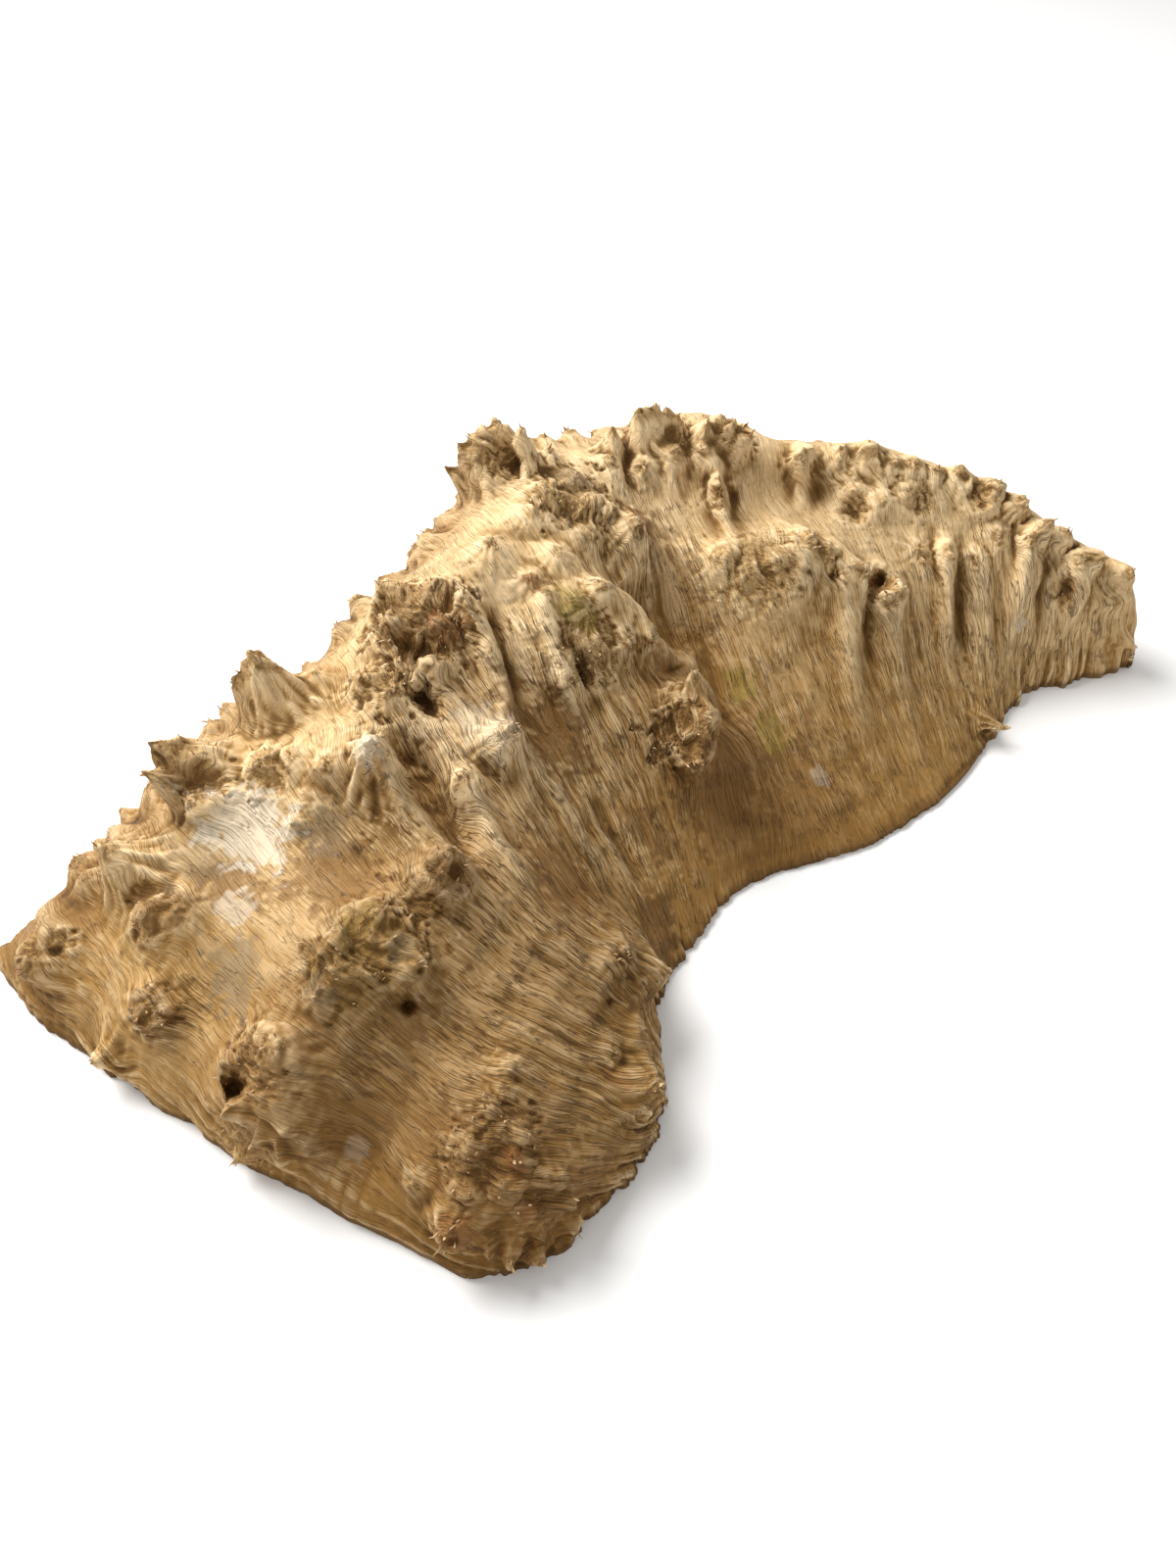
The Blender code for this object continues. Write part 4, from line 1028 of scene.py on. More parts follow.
class GrainMap:
    """Coordinates across and along the grain, in metres, over the guide skin.

    Lines of equal across value follow the strokes. Both maps are the smoothest ones that do so,
    found by conjugate gradients.
    """

    def __init__(self, guide: Skin) -> None:
        """Solves both maps.

        Args:
            guide: The skin that the maps are drawn on.
        """
        self.guide = guide
        points = guide.points
        self.along_edge = self._slope(points, 0)
        self.across_edge = self._slope(points, 1)
        down = self._directions()
        normal = np.cross(self.along_edge, self.across_edge)
        normal /= np.linalg.norm(normal, axis=2, keepdims=True) + 1e-12
        side = np.cross(normal, down)
        side *= np.sign((side * self.along_edge).sum(axis=2, keepdims=True).mean())
        self.down_parts = self._parts(down)
        self.side_parts = self._parts(side)
        start = guide.along * np.linalg.norm(np.diff(points, axis=0), axis=2).sum(axis=0).mean()
        self.across_grain = self._solve(start, 0.0, 1.0, ALIGNMENT)
        start = guide.across * np.linalg.norm(np.diff(points, axis=1), axis=2).sum(axis=1).mean()
        self.along_grain = self._solve(start, 1.0, 0.0, 1.0)

    @staticmethod
    def _slope(values: Array, axis: int) -> Array:
        """Change of a grid's values over each cell, along one of its axes.

        Args:
            values: Values at the grid's points.
            axis: 0 for along, 1 for across.

        Returns:
            The change over each cell.
        """
        if axis == 0:
            change = values[1:] - values[:-1]
            return (change[:, 1:] + change[:, :-1]) / 2
        change = values[:, 1:] - values[:, :-1]
        return (change[1:] + change[:-1]) / 2

    @staticmethod
    def _gather(along: Array, across: Array) -> Array:
        """Transpose of both slopes: brings cell values back to the grid's points.

        Args:
            along: Cell values that belong to the slope along.
            across: Cell values that belong to the slope across.

        Returns:
            Values at the grid's points.
        """
        rows, points_across = along.shape
        total = np.zeros((rows + 1, points_across + 1))
        total[1:, 1:] += along + across
        total[1:, :-1] += along - across
        total[:-1, 1:] += across - along
        total[:-1, :-1] -= along + across
        return total / 2

    def _directions(self) -> Array:
        """Unit direction down the grain in every cell.

        Returns:
            A unit vector for each cell.
        """
        middle = (self.guide.points[1:, 1:] + self.guide.points[:-1, :-1]) / 2
        total = STROKE_SHARE * self.across_edge / np.linalg.norm(self.across_edge, axis=2, keepdims=True)
        for stroke in STROKES:
            route = [self.guide.points[self.guide.sight(pixel)] for pixel in stroke]
            for start, end in zip(route[:-1], route[1:]):
                run = end - start
                share = np.clip(((middle - start) @ run) / (run @ run), 0, 1)
                distance = np.linalg.norm(middle - start - share[..., None] * run, axis=2)
                weight = np.exp(-((distance / STROKE_REACH) ** 2))
                total = total + weight[..., None] * run / np.linalg.norm(run)
        return total / np.linalg.norm(total, axis=2, keepdims=True)

    def _parts(self, direction: Array) -> tuple[Array, Array]:
        """Parts of a direction along the cell's two edges.

        Args:
            direction: A direction in every cell.

        Returns:
            Its parts along and across the grid.
        """
        first = (self.along_edge**2).sum(axis=2)
        mixed = (self.along_edge * self.across_edge).sum(axis=2)
        second = (self.across_edge**2).sum(axis=2)
        along = (direction * self.along_edge).sum(axis=2)
        across = (direction * self.across_edge).sum(axis=2)
        scale = first * second - mixed**2 + 1e-18
        return (second * along - mixed * across) / scale, (first * across - mixed * along) / scale

    def _solve(
        self, start: Array, down_rate: float, side_rate: float, down_weight: float
    ) -> Array:
        """Map whose rates down the grain and across it are as near as can be to the wanted ones.

        Args:
            start: Values to start from.
            down_rate: Wanted rate down the grain.
            side_rate: Wanted rate across the grain.
            down_weight: How much more the rate down the grain counts.

        Returns:
            The map's values at the grid's points.
        """
        down, side = self.down_parts, self.side_parts

        def rates(values: Array) -> tuple[Array, Array]:
            """Rates of a map down the grain and across it."""
            along, across = self._slope(values, 0), self._slope(values, 1)
            return down[0] * along + down[1] * across, side[0] * along + side[1] * across

        def back(down_part: Array, side_part: Array) -> Array:
            """Brings both rates back to the grid's points."""
            along = down[0] * down_part + side[0] * side_part
            return self._gather(along, down[1] * down_part + side[1] * side_part)

        def apply(values: Array) -> Array:
            """Rates of a map, weighted and brought back to the grid's points."""
            down_part, side_part = rates(values)
            return back(down_weight * down_part, side_part)

        shape = down[0].shape
        aim = back(np.full(shape, down_weight * down_rate), np.full(shape, side_rate))
        values = start.copy()
        rest = aim - apply(values)
        way = rest.copy()
        size = (rest**2).sum()
        for _ in range(SOLVER_STEPS):
            pushed = apply(way)
            step = size / ((way * pushed).sum() + 1e-30)
            values += step * way
            rest -= step * pushed
            new_size = (rest**2).sum()
            way = rest + way * (new_size / (size + 1e-30))
            size = new_size
        return values

    def sample(self, values: Array, skin: Skin) -> Array:
        """Reads a guide map at every point of another skin.

        Args:
            values: The map's values on the guide skin.
            skin: The other skin.

        Returns:
            The map's values on the other skin.
        """
        rows, points_across = values.shape
        along = np.clip(skin.along, 0, 1) * (rows - 1)
        across = np.clip(skin.across, 0, 1) * (points_across - 1)
        row = np.minimum(along.astype(int), rows - 2)
        column = np.minimum(across.astype(int), points_across - 2)
        along, across = along - row, across - column
        near = values[row, column] * (1 - across) + values[row, column + 1] * across
        far = values[row + 1, column] * (1 - across) + values[row + 1, column + 1] * across
        return near * (1 - along) + far * along


class PatchKind(Enum):
    """Kinds of patches.

    SHADE and SUN are soft patches of painted shade and painted light, which
    darken and lighten the colour. FURROWS deepens its grooves, and CRUMBLE breaks its skin up.
    """

    SHADE = 0
    AMBER = 1
    ASH = 2
    RUST = 3
    MOSS = 4
    CHALK = 5
    FURROWS = 6
    SUN = 7
    CRUMBLE = 8


@dataclass(frozen=True)
class Patch:
    """A patch around a photograph pixel, with its radius in millimetres.

    tail stretches it down the grain.
    """

    photo: Pixel
    radius: float
    strength: float = 1.0
    tail: float = 1.0


PATCHES = {
    # Painted shade: soft darker patches on the near lobe, the middle hump's lower parts, the valley and the
    # far slope
    PatchKind.SHADE: [
        Patch((330, 1040), 75, 0.5), Patch((530, 1220), 60, 0.5), Patch((450, 1130), 50, 0.4),
        Patch((590, 960), 50, 0.7, 1.3), Patch((735, 780), 36, 0.95, 1.8), Patch((880, 740), 60, 0.25),
        Patch((560, 760), 50, 0.2), Patch((420, 690), 26, 0.5), Patch((440, 880), 34, 0.5),
    ],
    # Painted light: soft paler patches on the far end, the crest and the left shoulders
    PatchKind.SUN: [
        Patch((1080, 600), 70, 1.0), Patch((900, 520), 60, 0.6), Patch((640, 470), 60, 0.5),
        Patch((230, 840), 34, 0.5), Patch((500, 700), 40, 0.4), Patch((348, 945), 9, 1.0),
    ],
    PatchKind.AMBER: [
        Patch((385, 965), 22, 0.5), Patch((255, 1115), 22, 0.5), Patch((145, 930), 14, 0.5),
        Patch((150, 1035), 12, 0.6), Patch((515, 1180), 24, 0.4), Patch((455, 885), 12, 0.6),
        Patch((545, 1250), 22, 0.4), Patch((200, 800), 10, 0.5), Patch((430, 620), 18, 0.4),
        Patch((566, 748), 12, 1.0, 1.5), Patch((522, 712), 9, 0.9, 1.5), Patch((570, 889), 12, 0.8, 1.6),
        Patch((661, 849), 9, 0.7, 1.6), Patch((672, 948), 11, 0.9, 1.4), Patch((340, 890), 14, 0.8, 1.4),
        Patch((240, 905), 11, 0.8, 1.4), Patch((180, 925), 9, 0.6), Patch((330, 1000), 20, 0.4),
        Patch((420, 1040), 8, 0.9), Patch((352, 1150), 15, 0.5), Patch((735, 790), 22, 0.5, 2.0),
        Patch((820, 830), 26, 0.5, 1.4), Patch((700, 690), 10, 0.6, 2.5),
        Patch((690, 600), 12, 0.5, 2.5), Patch((325, 800), 6, 0.7), Patch((600, 1210), 12, 0.5),
        Patch((440, 1150), 10, 0.5),
    ],
    PatchKind.CRUMBLE: [
        Patch((704, 746), 14, 1.0), Patch((425, 625), 22, 0.8), Patch((400, 690), 14, 0.7),
        Patch((395, 955), 15, 0.8), Patch((335, 985), 13, 0.8), Patch((250, 1090), 13, 0.7),
        Patch((245, 1165), 13, 0.6), Patch((480, 1180), 10, 0.7), Patch((520, 1145), 11, 0.6),
        Patch((560, 1245), 10, 0.6), Patch((465, 1268), 9, 0.7), Patch((785, 575), 15, 0.5),
        Patch((845, 560), 7, 0.5), Patch((590, 505), 18, 0.7), Patch((485, 450), 13, 0.6),
        Patch((665, 430), 13, 0.5), Patch((745, 436), 12, 0.7), Patch((885, 478), 14, 0.35),
        Patch((930, 505), 10, 0.3), Patch((458, 880), 9, 0.8), Patch((146, 930), 10, 0.8),
        Patch((148, 1036), 9, 0.8), Patch((203, 800), 11, 0.7), Patch((268, 785), 10, 0.7),
        Patch((600, 655), 14, 0.6), Patch((375, 765), 7, 0.5),
    ],
    PatchKind.FURROWS: [
        Patch((560, 860), 50, 1.0, 1.5), Patch((620, 760), 34, 0.9, 1.5),
        Patch((650, 580), 30, 0.9, 1.8), Patch((490, 680), 30, 0.6, 1.5), Patch((600, 1080), 44, 0.9),
        Patch((430, 1110), 34, 0.6), Patch((170, 1030), 14, 1.0), Patch((80, 1050), 24, 0.4),
        Patch((1040, 640), 44, 0.8), Patch((920, 700), 50, 0.5), Patch((750, 730), 30, 0.6, 1.6),
    ],
    PatchKind.CHALK: [
        Patch((255, 850), 14, 1.0, 1.4), Patch((240, 925), 7, 0.6), Patch((365, 1172), 4, 0.25),
        Patch((836, 792), 4, 0.4), Patch((1042, 636), 3, 0.8, 2.4), Patch((373, 757), 11, 0.9),
        Patch((500, 735), 12, 0.4),
    ],
    PatchKind.MOSS: [
        Patch((586, 616), 9, 1.0), Patch((755, 700), 6, 0.9, 1.6), Patch((791, 748), 6, 0.8, 1.6),
        Patch((360, 930), 8, 0.25), Patch((372, 985), 18, 0.2),
    ],
    PatchKind.ASH: [
        Patch((240, 1000), 12, 0.9), Patch((330, 850), 9, 0.8), Patch((589, 484), 8, 0.8),
        Patch((198, 775), 9, 0.9), Patch((510, 590), 9, 0.7), Patch((200, 870), 12, 0.6),
        Patch((405, 965), 5, 0.8), Patch((322, 1018), 6, 0.7),
    ],
    PatchKind.RUST: [
        Patch((543, 589), 6, 1.0), Patch((653, 530), 6, 1.0), Patch((525, 1187), 4, 1.0),
        Patch((452, 638), 7, 0.9), Patch((544, 1239), 5, 0.9), Patch((462, 1262), 6, 0.8),
        Patch((900, 600), 5, 0.8), Patch((632, 1100), 4, 0.6),
    ],
}
BENDING_RISE = 7  # rise in millimetres from which a knob bends the grain round it
KNOT_TURN = 0.7  # how far round a knot the grain bends, as a share of the knot's spread
KNOT_WRAP = 0.8  # how closely the grain's lines ring a knot
FLUTES = (
    # width across the grain, length along it, height, all in millimetres
    (9.5, 90.0, 0.55),
    (4.4, 50.0, 0.26),
    (2.2, 22.0, 0.18),
)
CRUMBS = (
    # width across the grain, length along it, height, all in millimetres
    (3.8, 7.0, 1.1),
    (2.2, 4.2, 0.8),
    (1.4, 2.4, 0.5),
)
WAVE = 1.1 * MM  # how far the grain sways from side to side
WAVE_LENGTH = 11 * MM
BROKENNESS = 0.13  # how uneven the knobs are round their feet
RAGGED_RIM = 3.0 * MM
RAGGED_REACH = 4 * MM  # how far in from the rim the fraying runs
RIM_WAVES = (
    # width across the grain and length along it in millimetres, share of the fraying, seed
    (8.0, 60.0, 1.0, 50.0),
    (3.5, 40.0, 0.8, 60.0),
    (1.8, 40.0, 0.5, 65.0),
)
WANDER_LENGTH = 55 * MM  # how far apart the deeper and the shallower flutes lie
FLUTE_DEPTH = (0.15, 0.3, 0.8)  # least depth, and what wandering and furrows add to it
FLUTE_RIDGE = (2.6, 0.6)  # slope and sinking of a flute's profile
CRUMB_RIDGE = (3.0, 1.0)  # slope and sinking of a crumb's profile
KNOT_CALM = 0.6  # how much shallower the flutes are on the knots
RIM_DEPTH = 0.35  # share of the carving that is left at the rim
SWAY = 0.6 * MM  # how far the knots' crumbs are pushed about
SWAY_LENGTH = 4.5 * MM
EDGE_FADE = 0.35  # how quickly a patch ends, as a share of its radius
EDGE_START = 1.15  # where a patch has ended, as a share of its radius
EDGE_NOISE = ((7 * MM, 0.7, 70.0), (2.6 * MM, 0.6, 71.0))  # size, share and seed of its raggedness
SOFT_FALL = 1.5  # how soon a soft patch falls away from its middle
BACK_PAINTED_SHADE = 0.7  # painted shade: how much darker the steep back is painted
BACK_CALM = 0.6  # how much shallower the flutes are on the back
BACK_REACH = (0.30, 0.12)  # share across where the back's painted shade and calmer flutes start, and their fade
SHADE_SCALES = (4, 16, 48)  # passes of the blurs that find crests and hollows


def back_ribs() -> list[HiddenRib]:
    """Ribs and valleys down the side that the photograph hides.

    Returns:
        The ribs and the valleys.
    """
    draw = np.random.RandomState(BACK_SEED)
    ribs = []
    for number in range(BACK_RIBS):
        along = (number + 0.5 + draw.uniform(-0.3, 0.3)) / BACK_RIBS
        rise = draw.uniform(*BACK_RIB_RISES) * (1 if number % 3 else -1)
        top = (along, draw.uniform(*BACK_RIB_TOPS))
        bottom = (min(max(along + draw.uniform(-0.02, 0.02), 0.01), 0.99), draw.uniform(*BACK_RIB_FEET))
        ribs.append(HiddenRib(top, bottom, rise, draw.uniform(*BACK_RIB_SPREADS)))
    return ribs


def back_knobs() -> list[HiddenSpur]:
    """Clusters of small knobs down the side that the photograph hides.

    Returns:
        The knobs.
    """
    draw = np.random.RandomState(BACK_SEED + 1)
    knobs = []
    for cluster in range(BACK_CLUSTERS):
        along = 0.10 + 0.84 * (cluster + draw.uniform(0.1, 0.9)) / BACK_CLUSTERS
        across = draw.uniform(0.03, 0.19)
        for _ in range(draw.randint(2, 5)):
            share = (along + draw.uniform(-0.022, 0.022), max(across + draw.uniform(-0.04, 0.04), 0.02))
            size = draw.uniform(*BACK_KNOB_SIZES)
            rise = BACK_KNOB_RISE * size
            spread = BACK_KNOB_SPREAD * size
            knobs.append(HiddenSpur(share, rise, spread, draw.uniform(0.3, 0.7), BACK_KNOB_TAIL))
    return knobs


@dataclass
class CapForm:
    """The cap's whole form: a guide skin that places each feature, and the fine skin."""

    guide: Skin = field(init=False)
    skin: Skin = field(init=False)
    smooth: Skin = field(init=False)
    across_grain: Array = field(init=False)
    along_grain: Array = field(init=False)
    patch_masks: dict[PatchKind, Array] = field(init=False)
    relief: list[Array] = field(default_factory=list)
    steps: list[Callable[[Skin], None]] = field(default_factory=list)
    spurs: list[tuple[Anchor, Spur | HiddenSpur]] = field(default_factory=list)

    def __post_init__(self) -> None:
        """Raises the guide, solves the grain and carves the fine skin."""
        shares = np.linspace(0, 1, GUIDE_ALONG), np.linspace(0, 1, GUIDE_ACROSS)
        along, across = np.meshgrid(*shares, indexing="ij")
        self.guide = Skin(along, across)
        self._raise_guide()
        LOG.info("guide raised")
        self.skin = Skin(*even_shares(self.guide))
        self.skin.brokenness = BROKENNESS
        for step in self.steps:
            step(self.skin)
        self.skin.measure()
        LOG.info("fine skin raised")
        self.patch_masks = self._patch_masks()
        self._map_grain()
        self._carve()
        self._shade()
        LOG.info("fine skin carved")

    def _do(self, step: Callable[[Skin], None]) -> None:
        """Takes one step on the guide and keeps it for the fine skin."""
        step(self.guide)
        self.steps.append(step)

    def _raise_guide(self) -> None:
        """Raises every surveyed feature on the guide, in the solid's own order."""
        for lump in LUMPS:
            foot = self.guide.points[self.guide.sight(lump.photo)]
            self._do(lambda skin, foot=foot, lump=lump: skin.swell(foot, lump))
        self._do(Skin.measure)
        self.smooth = Skin(self.guide.along, self.guide.across)
        self.smooth.points = self.guide.points.copy()
        self.smooth.measure()
        for seam in SEAMS + back_ribs():
            route = seam.route(self.guide)
            self._do(lambda skin, route=route, seam=seam: skin.crease(route, seam))
        self._do(Skin.measure)
        self._do(Skin.roughen)
        self._do(Skin.measure)
        self.spurs = [(spur.anchor(self.guide), spur) for spur in SPURS + back_knobs()]
        self._do(lambda skin: skin.raise_spurs(self.spurs, SPUR_FLARE))
        self._do(Skin.measure)
        for eye in EYES:
            foot = self.guide.points[self.guide.sight(eye.photo)]
            self._do(lambda skin, foot=foot, eye=eye: skin.ring(foot, eye))
        self._do(Skin.measure)
        pits = [(pit.anchor(self.guide), pit) for pit in PITS]
        self._do(lambda skin: skin.raise_spurs(pits, PIT_FLARE))
        self._do(Skin.settle)
        self.guide.measure()

    def _map_grain(self) -> None:
        """Reads the grain's maps onto the fine skin and bends them round the knots."""
        grain = GrainMap(self.smooth)
        base = Skin(self.skin.along, self.skin.across)
        across = grain.sample(grain.across_grain, base)
        along = grain.sample(grain.along_grain, base)
        for anchor, spur in self.spurs:
            if spur.rise < BENDING_RISE:
                continue
            distance = np.linalg.norm(self.skin.points - anchor.apex, axis=2)
            foot = np.linalg.norm(self.skin.points - anchor.foot, axis=2)
            reach = spur.spread * KNOT_TURN * MM
            near = np.unravel_index(np.argmin(distance), distance.shape)
            turned = np.exp(-((np.minimum(distance, foot) / reach) ** 2))
            across = across - turned * (across - across[near]) + turned * distance * KNOT_WRAP
        across = across + WAVE * field_noise(self.skin.points / WAVE_LENGTH, 80.0)
        self.across_grain = across
        self.along_grain = along

    def _flute(self, width: float, length: float, seed: float) -> Array:
        """Ridged noise drawn out along the grain: 1 on the ridges, down to -1 in the grooves.

        Args:
            width: Width across the grain, in millimetres.
            length: Length along it, in millimetres.
            seed: Moves the noise to another place.

        Returns:
            The noise at every point of the fine skin.
        """
        drawn = np.stack([self.across_grain / (width * MM), self.along_grain / (length * MM)], axis=-1)
        drawn = np.concatenate([drawn, np.full(drawn.shape[:2] + (1,), seed)], axis=-1)
        return field_noise(drawn)

    def _carve(self) -> None:
        """Cuts flutes along the grain, breaks up the knots and frays the rim."""
        skin = self.skin
        skin.knots = np.clip(np.maximum(skin.knots, self.patch_masks[PatchKind.CRUMBLE]), 0, 1)
        rise = np.zeros(skin.knots.shape)
        wander = np.clip(field_noise(skin.points / WANDER_LENGTH, 3.0) + 0.3, 0, 1)
        depth = FLUTE_DEPTH[0] + FLUTE_DEPTH[1] * wander + FLUTE_DEPTH[2] * self.patch_masks[PatchKind.FURROWS]
        depth = depth * (1 - BACK_CALM * self._back())
        for number, (width, length, height) in enumerate(FLUTES):
            ridge = self._flute(width, length, 10.0 * number)
            rise += height * MM * (FLUTE_RIDGE[0] * np.abs(ridge) - FLUTE_RIDGE[1]) * depth
        rise *= 1 - KNOT_CALM * skin.knots
        crumbs = np.zeros(skin.knots.shape)
        for number, (width, length, height) in enumerate(CRUMBS):
            plates = self._flute(width, length, 20.0 + 10 * number)
            crumbs += height * MM * (CRUMB_RIDGE[0] * np.abs(plates) - CRUMB_RIDGE[1])
        rise += crumbs * skin.knots
        rise *= RIM_DEPTH + (1 - RIM_DEPTH) * skin.inside
        skin.points = skin.points + rise[..., None] * skin.normals
        sway = np.stack([field_noise(skin.points / SWAY_LENGTH, 30.0 + axis) for axis in range(3)], axis=-1)
        skin.points = skin.points + sway * (SWAY * skin.knots)[..., None]
        fray = np.exp(-((skin.rim_gap / RAGGED_REACH) ** 2))
        wave = sum(share * self._flute(width, length, seed) for width, length, share, seed in RIM_WAVES)
        outward = skin.normals * np.array([1.0, 1.0, 0.0])
        skin.points = skin.points + (fray * wave * RAGGED_RIM)[..., None] * outward
        skin.settle()
        knots = skin.knots
        skin.measure()
        skin.knots = knots

    def _shade(self) -> None:
        """Finds how far each point stands out from the skin around it, at three sizes."""
        skin = self.skin
        smooth = skin.points
        done = 0
        for passes in SHADE_SCALES:
            smooth = blur(smooth, passes - done)
            done = passes
            self.relief.append(((skin.points - smooth) * skin.normals).sum(axis=2) / MM)

    def _patch_masks(self) -> dict[PatchKind, Array]:
        """Strength of every kind of patch over the fine skin, painted shade and painted light among them.

        Returns:
            A mask for each kind.
        """
        masks = {kind: np.zeros(self.skin.knots.shape) for kind in PatchKind}
        edge = sum(share * field_noise(self.skin.points / size, seed) for size, share, seed in EDGE_NOISE)
        for kind, patches in PATCHES.items():
            for patch in patches:
                place = self.guide.sight(patch.photo)
                offset = self.skin.points - self.guide.points[place]
                downhill = offset @ self.guide.grain[place]
                sideways = np.maximum((offset**2).sum(axis=2) - downhill**2, 0)
                distance = np.sqrt(sideways + (downhill / patch.tail) ** 2) / (patch.radius * MM)
                # Painted shade and painted light patches fade softly; the others have ragged edges
                if kind in (PatchKind.SHADE, PatchKind.SUN):
                    share = patch.strength * np.exp(-SOFT_FALL * distance**2)
                else:
                    share = patch.strength * ease((EDGE_START + edge - distance) / EDGE_FADE)
                masks[kind] = 1 - (1 - masks[kind]) * (1 - share)
        # Painted shade darkens the steep back.
        masks[PatchKind.SHADE] = np.maximum(masks[PatchKind.SHADE], BACK_PAINTED_SHADE * self._back())
        return masks

    def _back(self) -> Array:
        """Share of each point of the fine skin in the steep back."""
        return ease((BACK_REACH[0] - self.skin.across) / BACK_REACH[1])


@dataclass(frozen=True)
class Signal:
    """One output of a shader node, with arithmetic that adds the Math nodes for it."""

    recipe: Recipe
    socket: bpy.types.NodeSocket

    def _math(self, operation: str, *values: Signal | float) -> Signal:
        """Adds one Math node."""
        return self.recipe.node("ShaderNodeMath", {"operation": operation}, dict(enumerate(values)))

    def __add__(self, other: Signal | float) -> Signal:
        """Sum."""
        return self._math("ADD", self, other)

    def __radd__(self, other: float) -> Signal:
        """Sum, with a number first."""
        return self._math("ADD", other, self)

    def __sub__(self, other: Signal | float) -> Signal:
        """Difference."""
        return self._math("SUBTRACT", self, other)

    def __rsub__(self, other: float) -> Signal:
        """Difference, with a number first."""
        return self._math("SUBTRACT", other, self)

    def __mul__(self, other: Signal | float) -> Signal:
        """Product."""
        return self._math("MULTIPLY", self, other)

    def __rmul__(self, other: float) -> Signal:
        """Product, with a number first."""
        return self._math("MULTIPLY", other, self)

    def __truediv__(self, other: Signal | float) -> Signal:
        """Quotient."""
        return self._math("DIVIDE", self, other)

    def __rtruediv__(self, other: float) -> Signal:
        """Quotient, with a number first."""
        return self._math("DIVIDE", other, self)

    def __pow__(self, other: float) -> Signal:
        """Power."""
        return self._math("POWER", self, other)

    def __rpow__(self, other: float) -> Signal:
        """Power, with a number first."""
        return self._math("POWER", other, self)

    def __abs__(self) -> Signal:
        """Size without its sign."""
        return self._math("ABSOLUTE", self)

    def held(self) -> Signal:
        """The value kept between 0 and 1."""
        return self.recipe.node("ShaderNodeClamp", {}, {"Value": self})

    def between(self, low: float, high: float) -> Signal:
        """Smooth share of the way from one value to another, from 0 to 1.

        Args:
            low: Value at share 0.
            high: Value at share 1.

        Returns:
            The share.
        """
        settings = {"interpolation_type": "SMOOTHSTEP"}
        inputs = {"Value": self, "From Min": low, "From Max": high}
        return self.recipe.node("ShaderNodeMapRange", settings, inputs)


class Recipe:
    """A material's node tree while it is being made."""

    def __init__(self, name: str) -> None:
        """Starts a material without nodes.

        Args:
            name: The material's name.
        """
        self.material = bpy.data.materials.new(name)
        self.material.use_nodes = True
        self.tree = self.material.node_tree
        self.tree.nodes.clear()

    def add(self, kind: str, settings: dict[str, object], inputs: dict[str | int, object]) -> bpy.types.Node:
        """Adds a node of any type.

        Args:
            kind: Blender's name of the node's type.
            settings: The node's own settings, such as an operation. They are set first.
            inputs: Values or links of its sockets, by name or number.

        Returns:
            The node.
        """
        made = self.tree.nodes.new(kind)
        for name, value in settings.items():
            setattr(made, name, value)
        for key, value in inputs.items():
            if isinstance(value, Signal):
                self.tree.links.new(value.socket, made.inputs[key])
            elif isinstance(value, tuple) and made.inputs[key].type == "RGBA":
                made.inputs[key].default_value = (*value, 1.0)
            else:
                made.inputs[key].default_value = value
        return made

    def node(
        self, kind: str, settings: dict[str, object], inputs: dict[str | int, object], output: str | int = 0
    ) -> Signal:
        """One output of a new node."""
        return Signal(self, self.add(kind, settings, inputs).outputs[output])

    def attribute(self, name: str) -> Signal:
        """A number that the mesh carries at each point."""
        return self.node("ShaderNodeAttribute", {"attribute_name": name}, {}, output="Fac")

    def vector(self, first: Signal | float, second: Signal | float, third: Signal | float) -> Signal:
        """A vector of three values."""
        return self.node("ShaderNodeCombineXYZ", {}, {0: first, 1: second, 2: third})

    def place(self) -> Signal:
        """The point's place in the object's own frame."""
        return self.node("ShaderNodeTexCoord", {}, {}, output="Object")

    def noise(self, place: Signal, size: float, detail: float = 2.0, roughness: float = 0.5) -> Signal:
        """Noise of 0 to 1 with lumps of about one size."""
        inputs = {"Vector": place, "Scale": 1 / size, "Detail": detail, "Roughness": roughness}
        return self.node("ShaderNodeTexNoise", {}, inputs)

    def mix(self, share: Signal | float, base: Signal | Colour, other: Signal | Colour) -> Signal:
        """Blends one colour into another."""
        return self.node("ShaderNodeMix", {"data_type": "RGBA"}, {0: share, 6: base, 7: other}, output=2)

    def tinted(self, base: Signal, tint: Colour) -> Signal:
        """One colour multiplied by another."""
        settings = {"data_type": "RGBA", "blend_type": "MULTIPLY"}
        return self.node("ShaderNodeMix", settings, {0: 1.0, 6: base, 7: tint}, output=2)

    def bump(self, height: Signal, depth: float) -> Signal:
        """Normal of a surface whose heights run from 0 to 1 over a depth in metres."""
        inputs = {"Height": height, "Strength": 1.0, "Distance": depth}
        return self.node("ShaderNodeBump", {}, inputs)

    def finish(
        self, colour: Signal, roughness: Signal, normal: Signal, specular: float
    ) -> bpy.types.Material:
        """Closes the material with its surface shader.

        Args:
            colour: Base colour.
            roughness: Roughness.
            normal: Normal from the bump.
            specular: Specular level.

        Returns:
            The finished material.
        """
        inputs = {"Base Color": colour, "Roughness": roughness, "Normal": normal}
        inputs["Specular IOR Level"] = specular
        surface = self.node("ShaderNodeBsdfPrincipled", {}, inputs)
        self.add("ShaderNodeOutputMaterial", {}, {"Surface": surface})
        return self.material


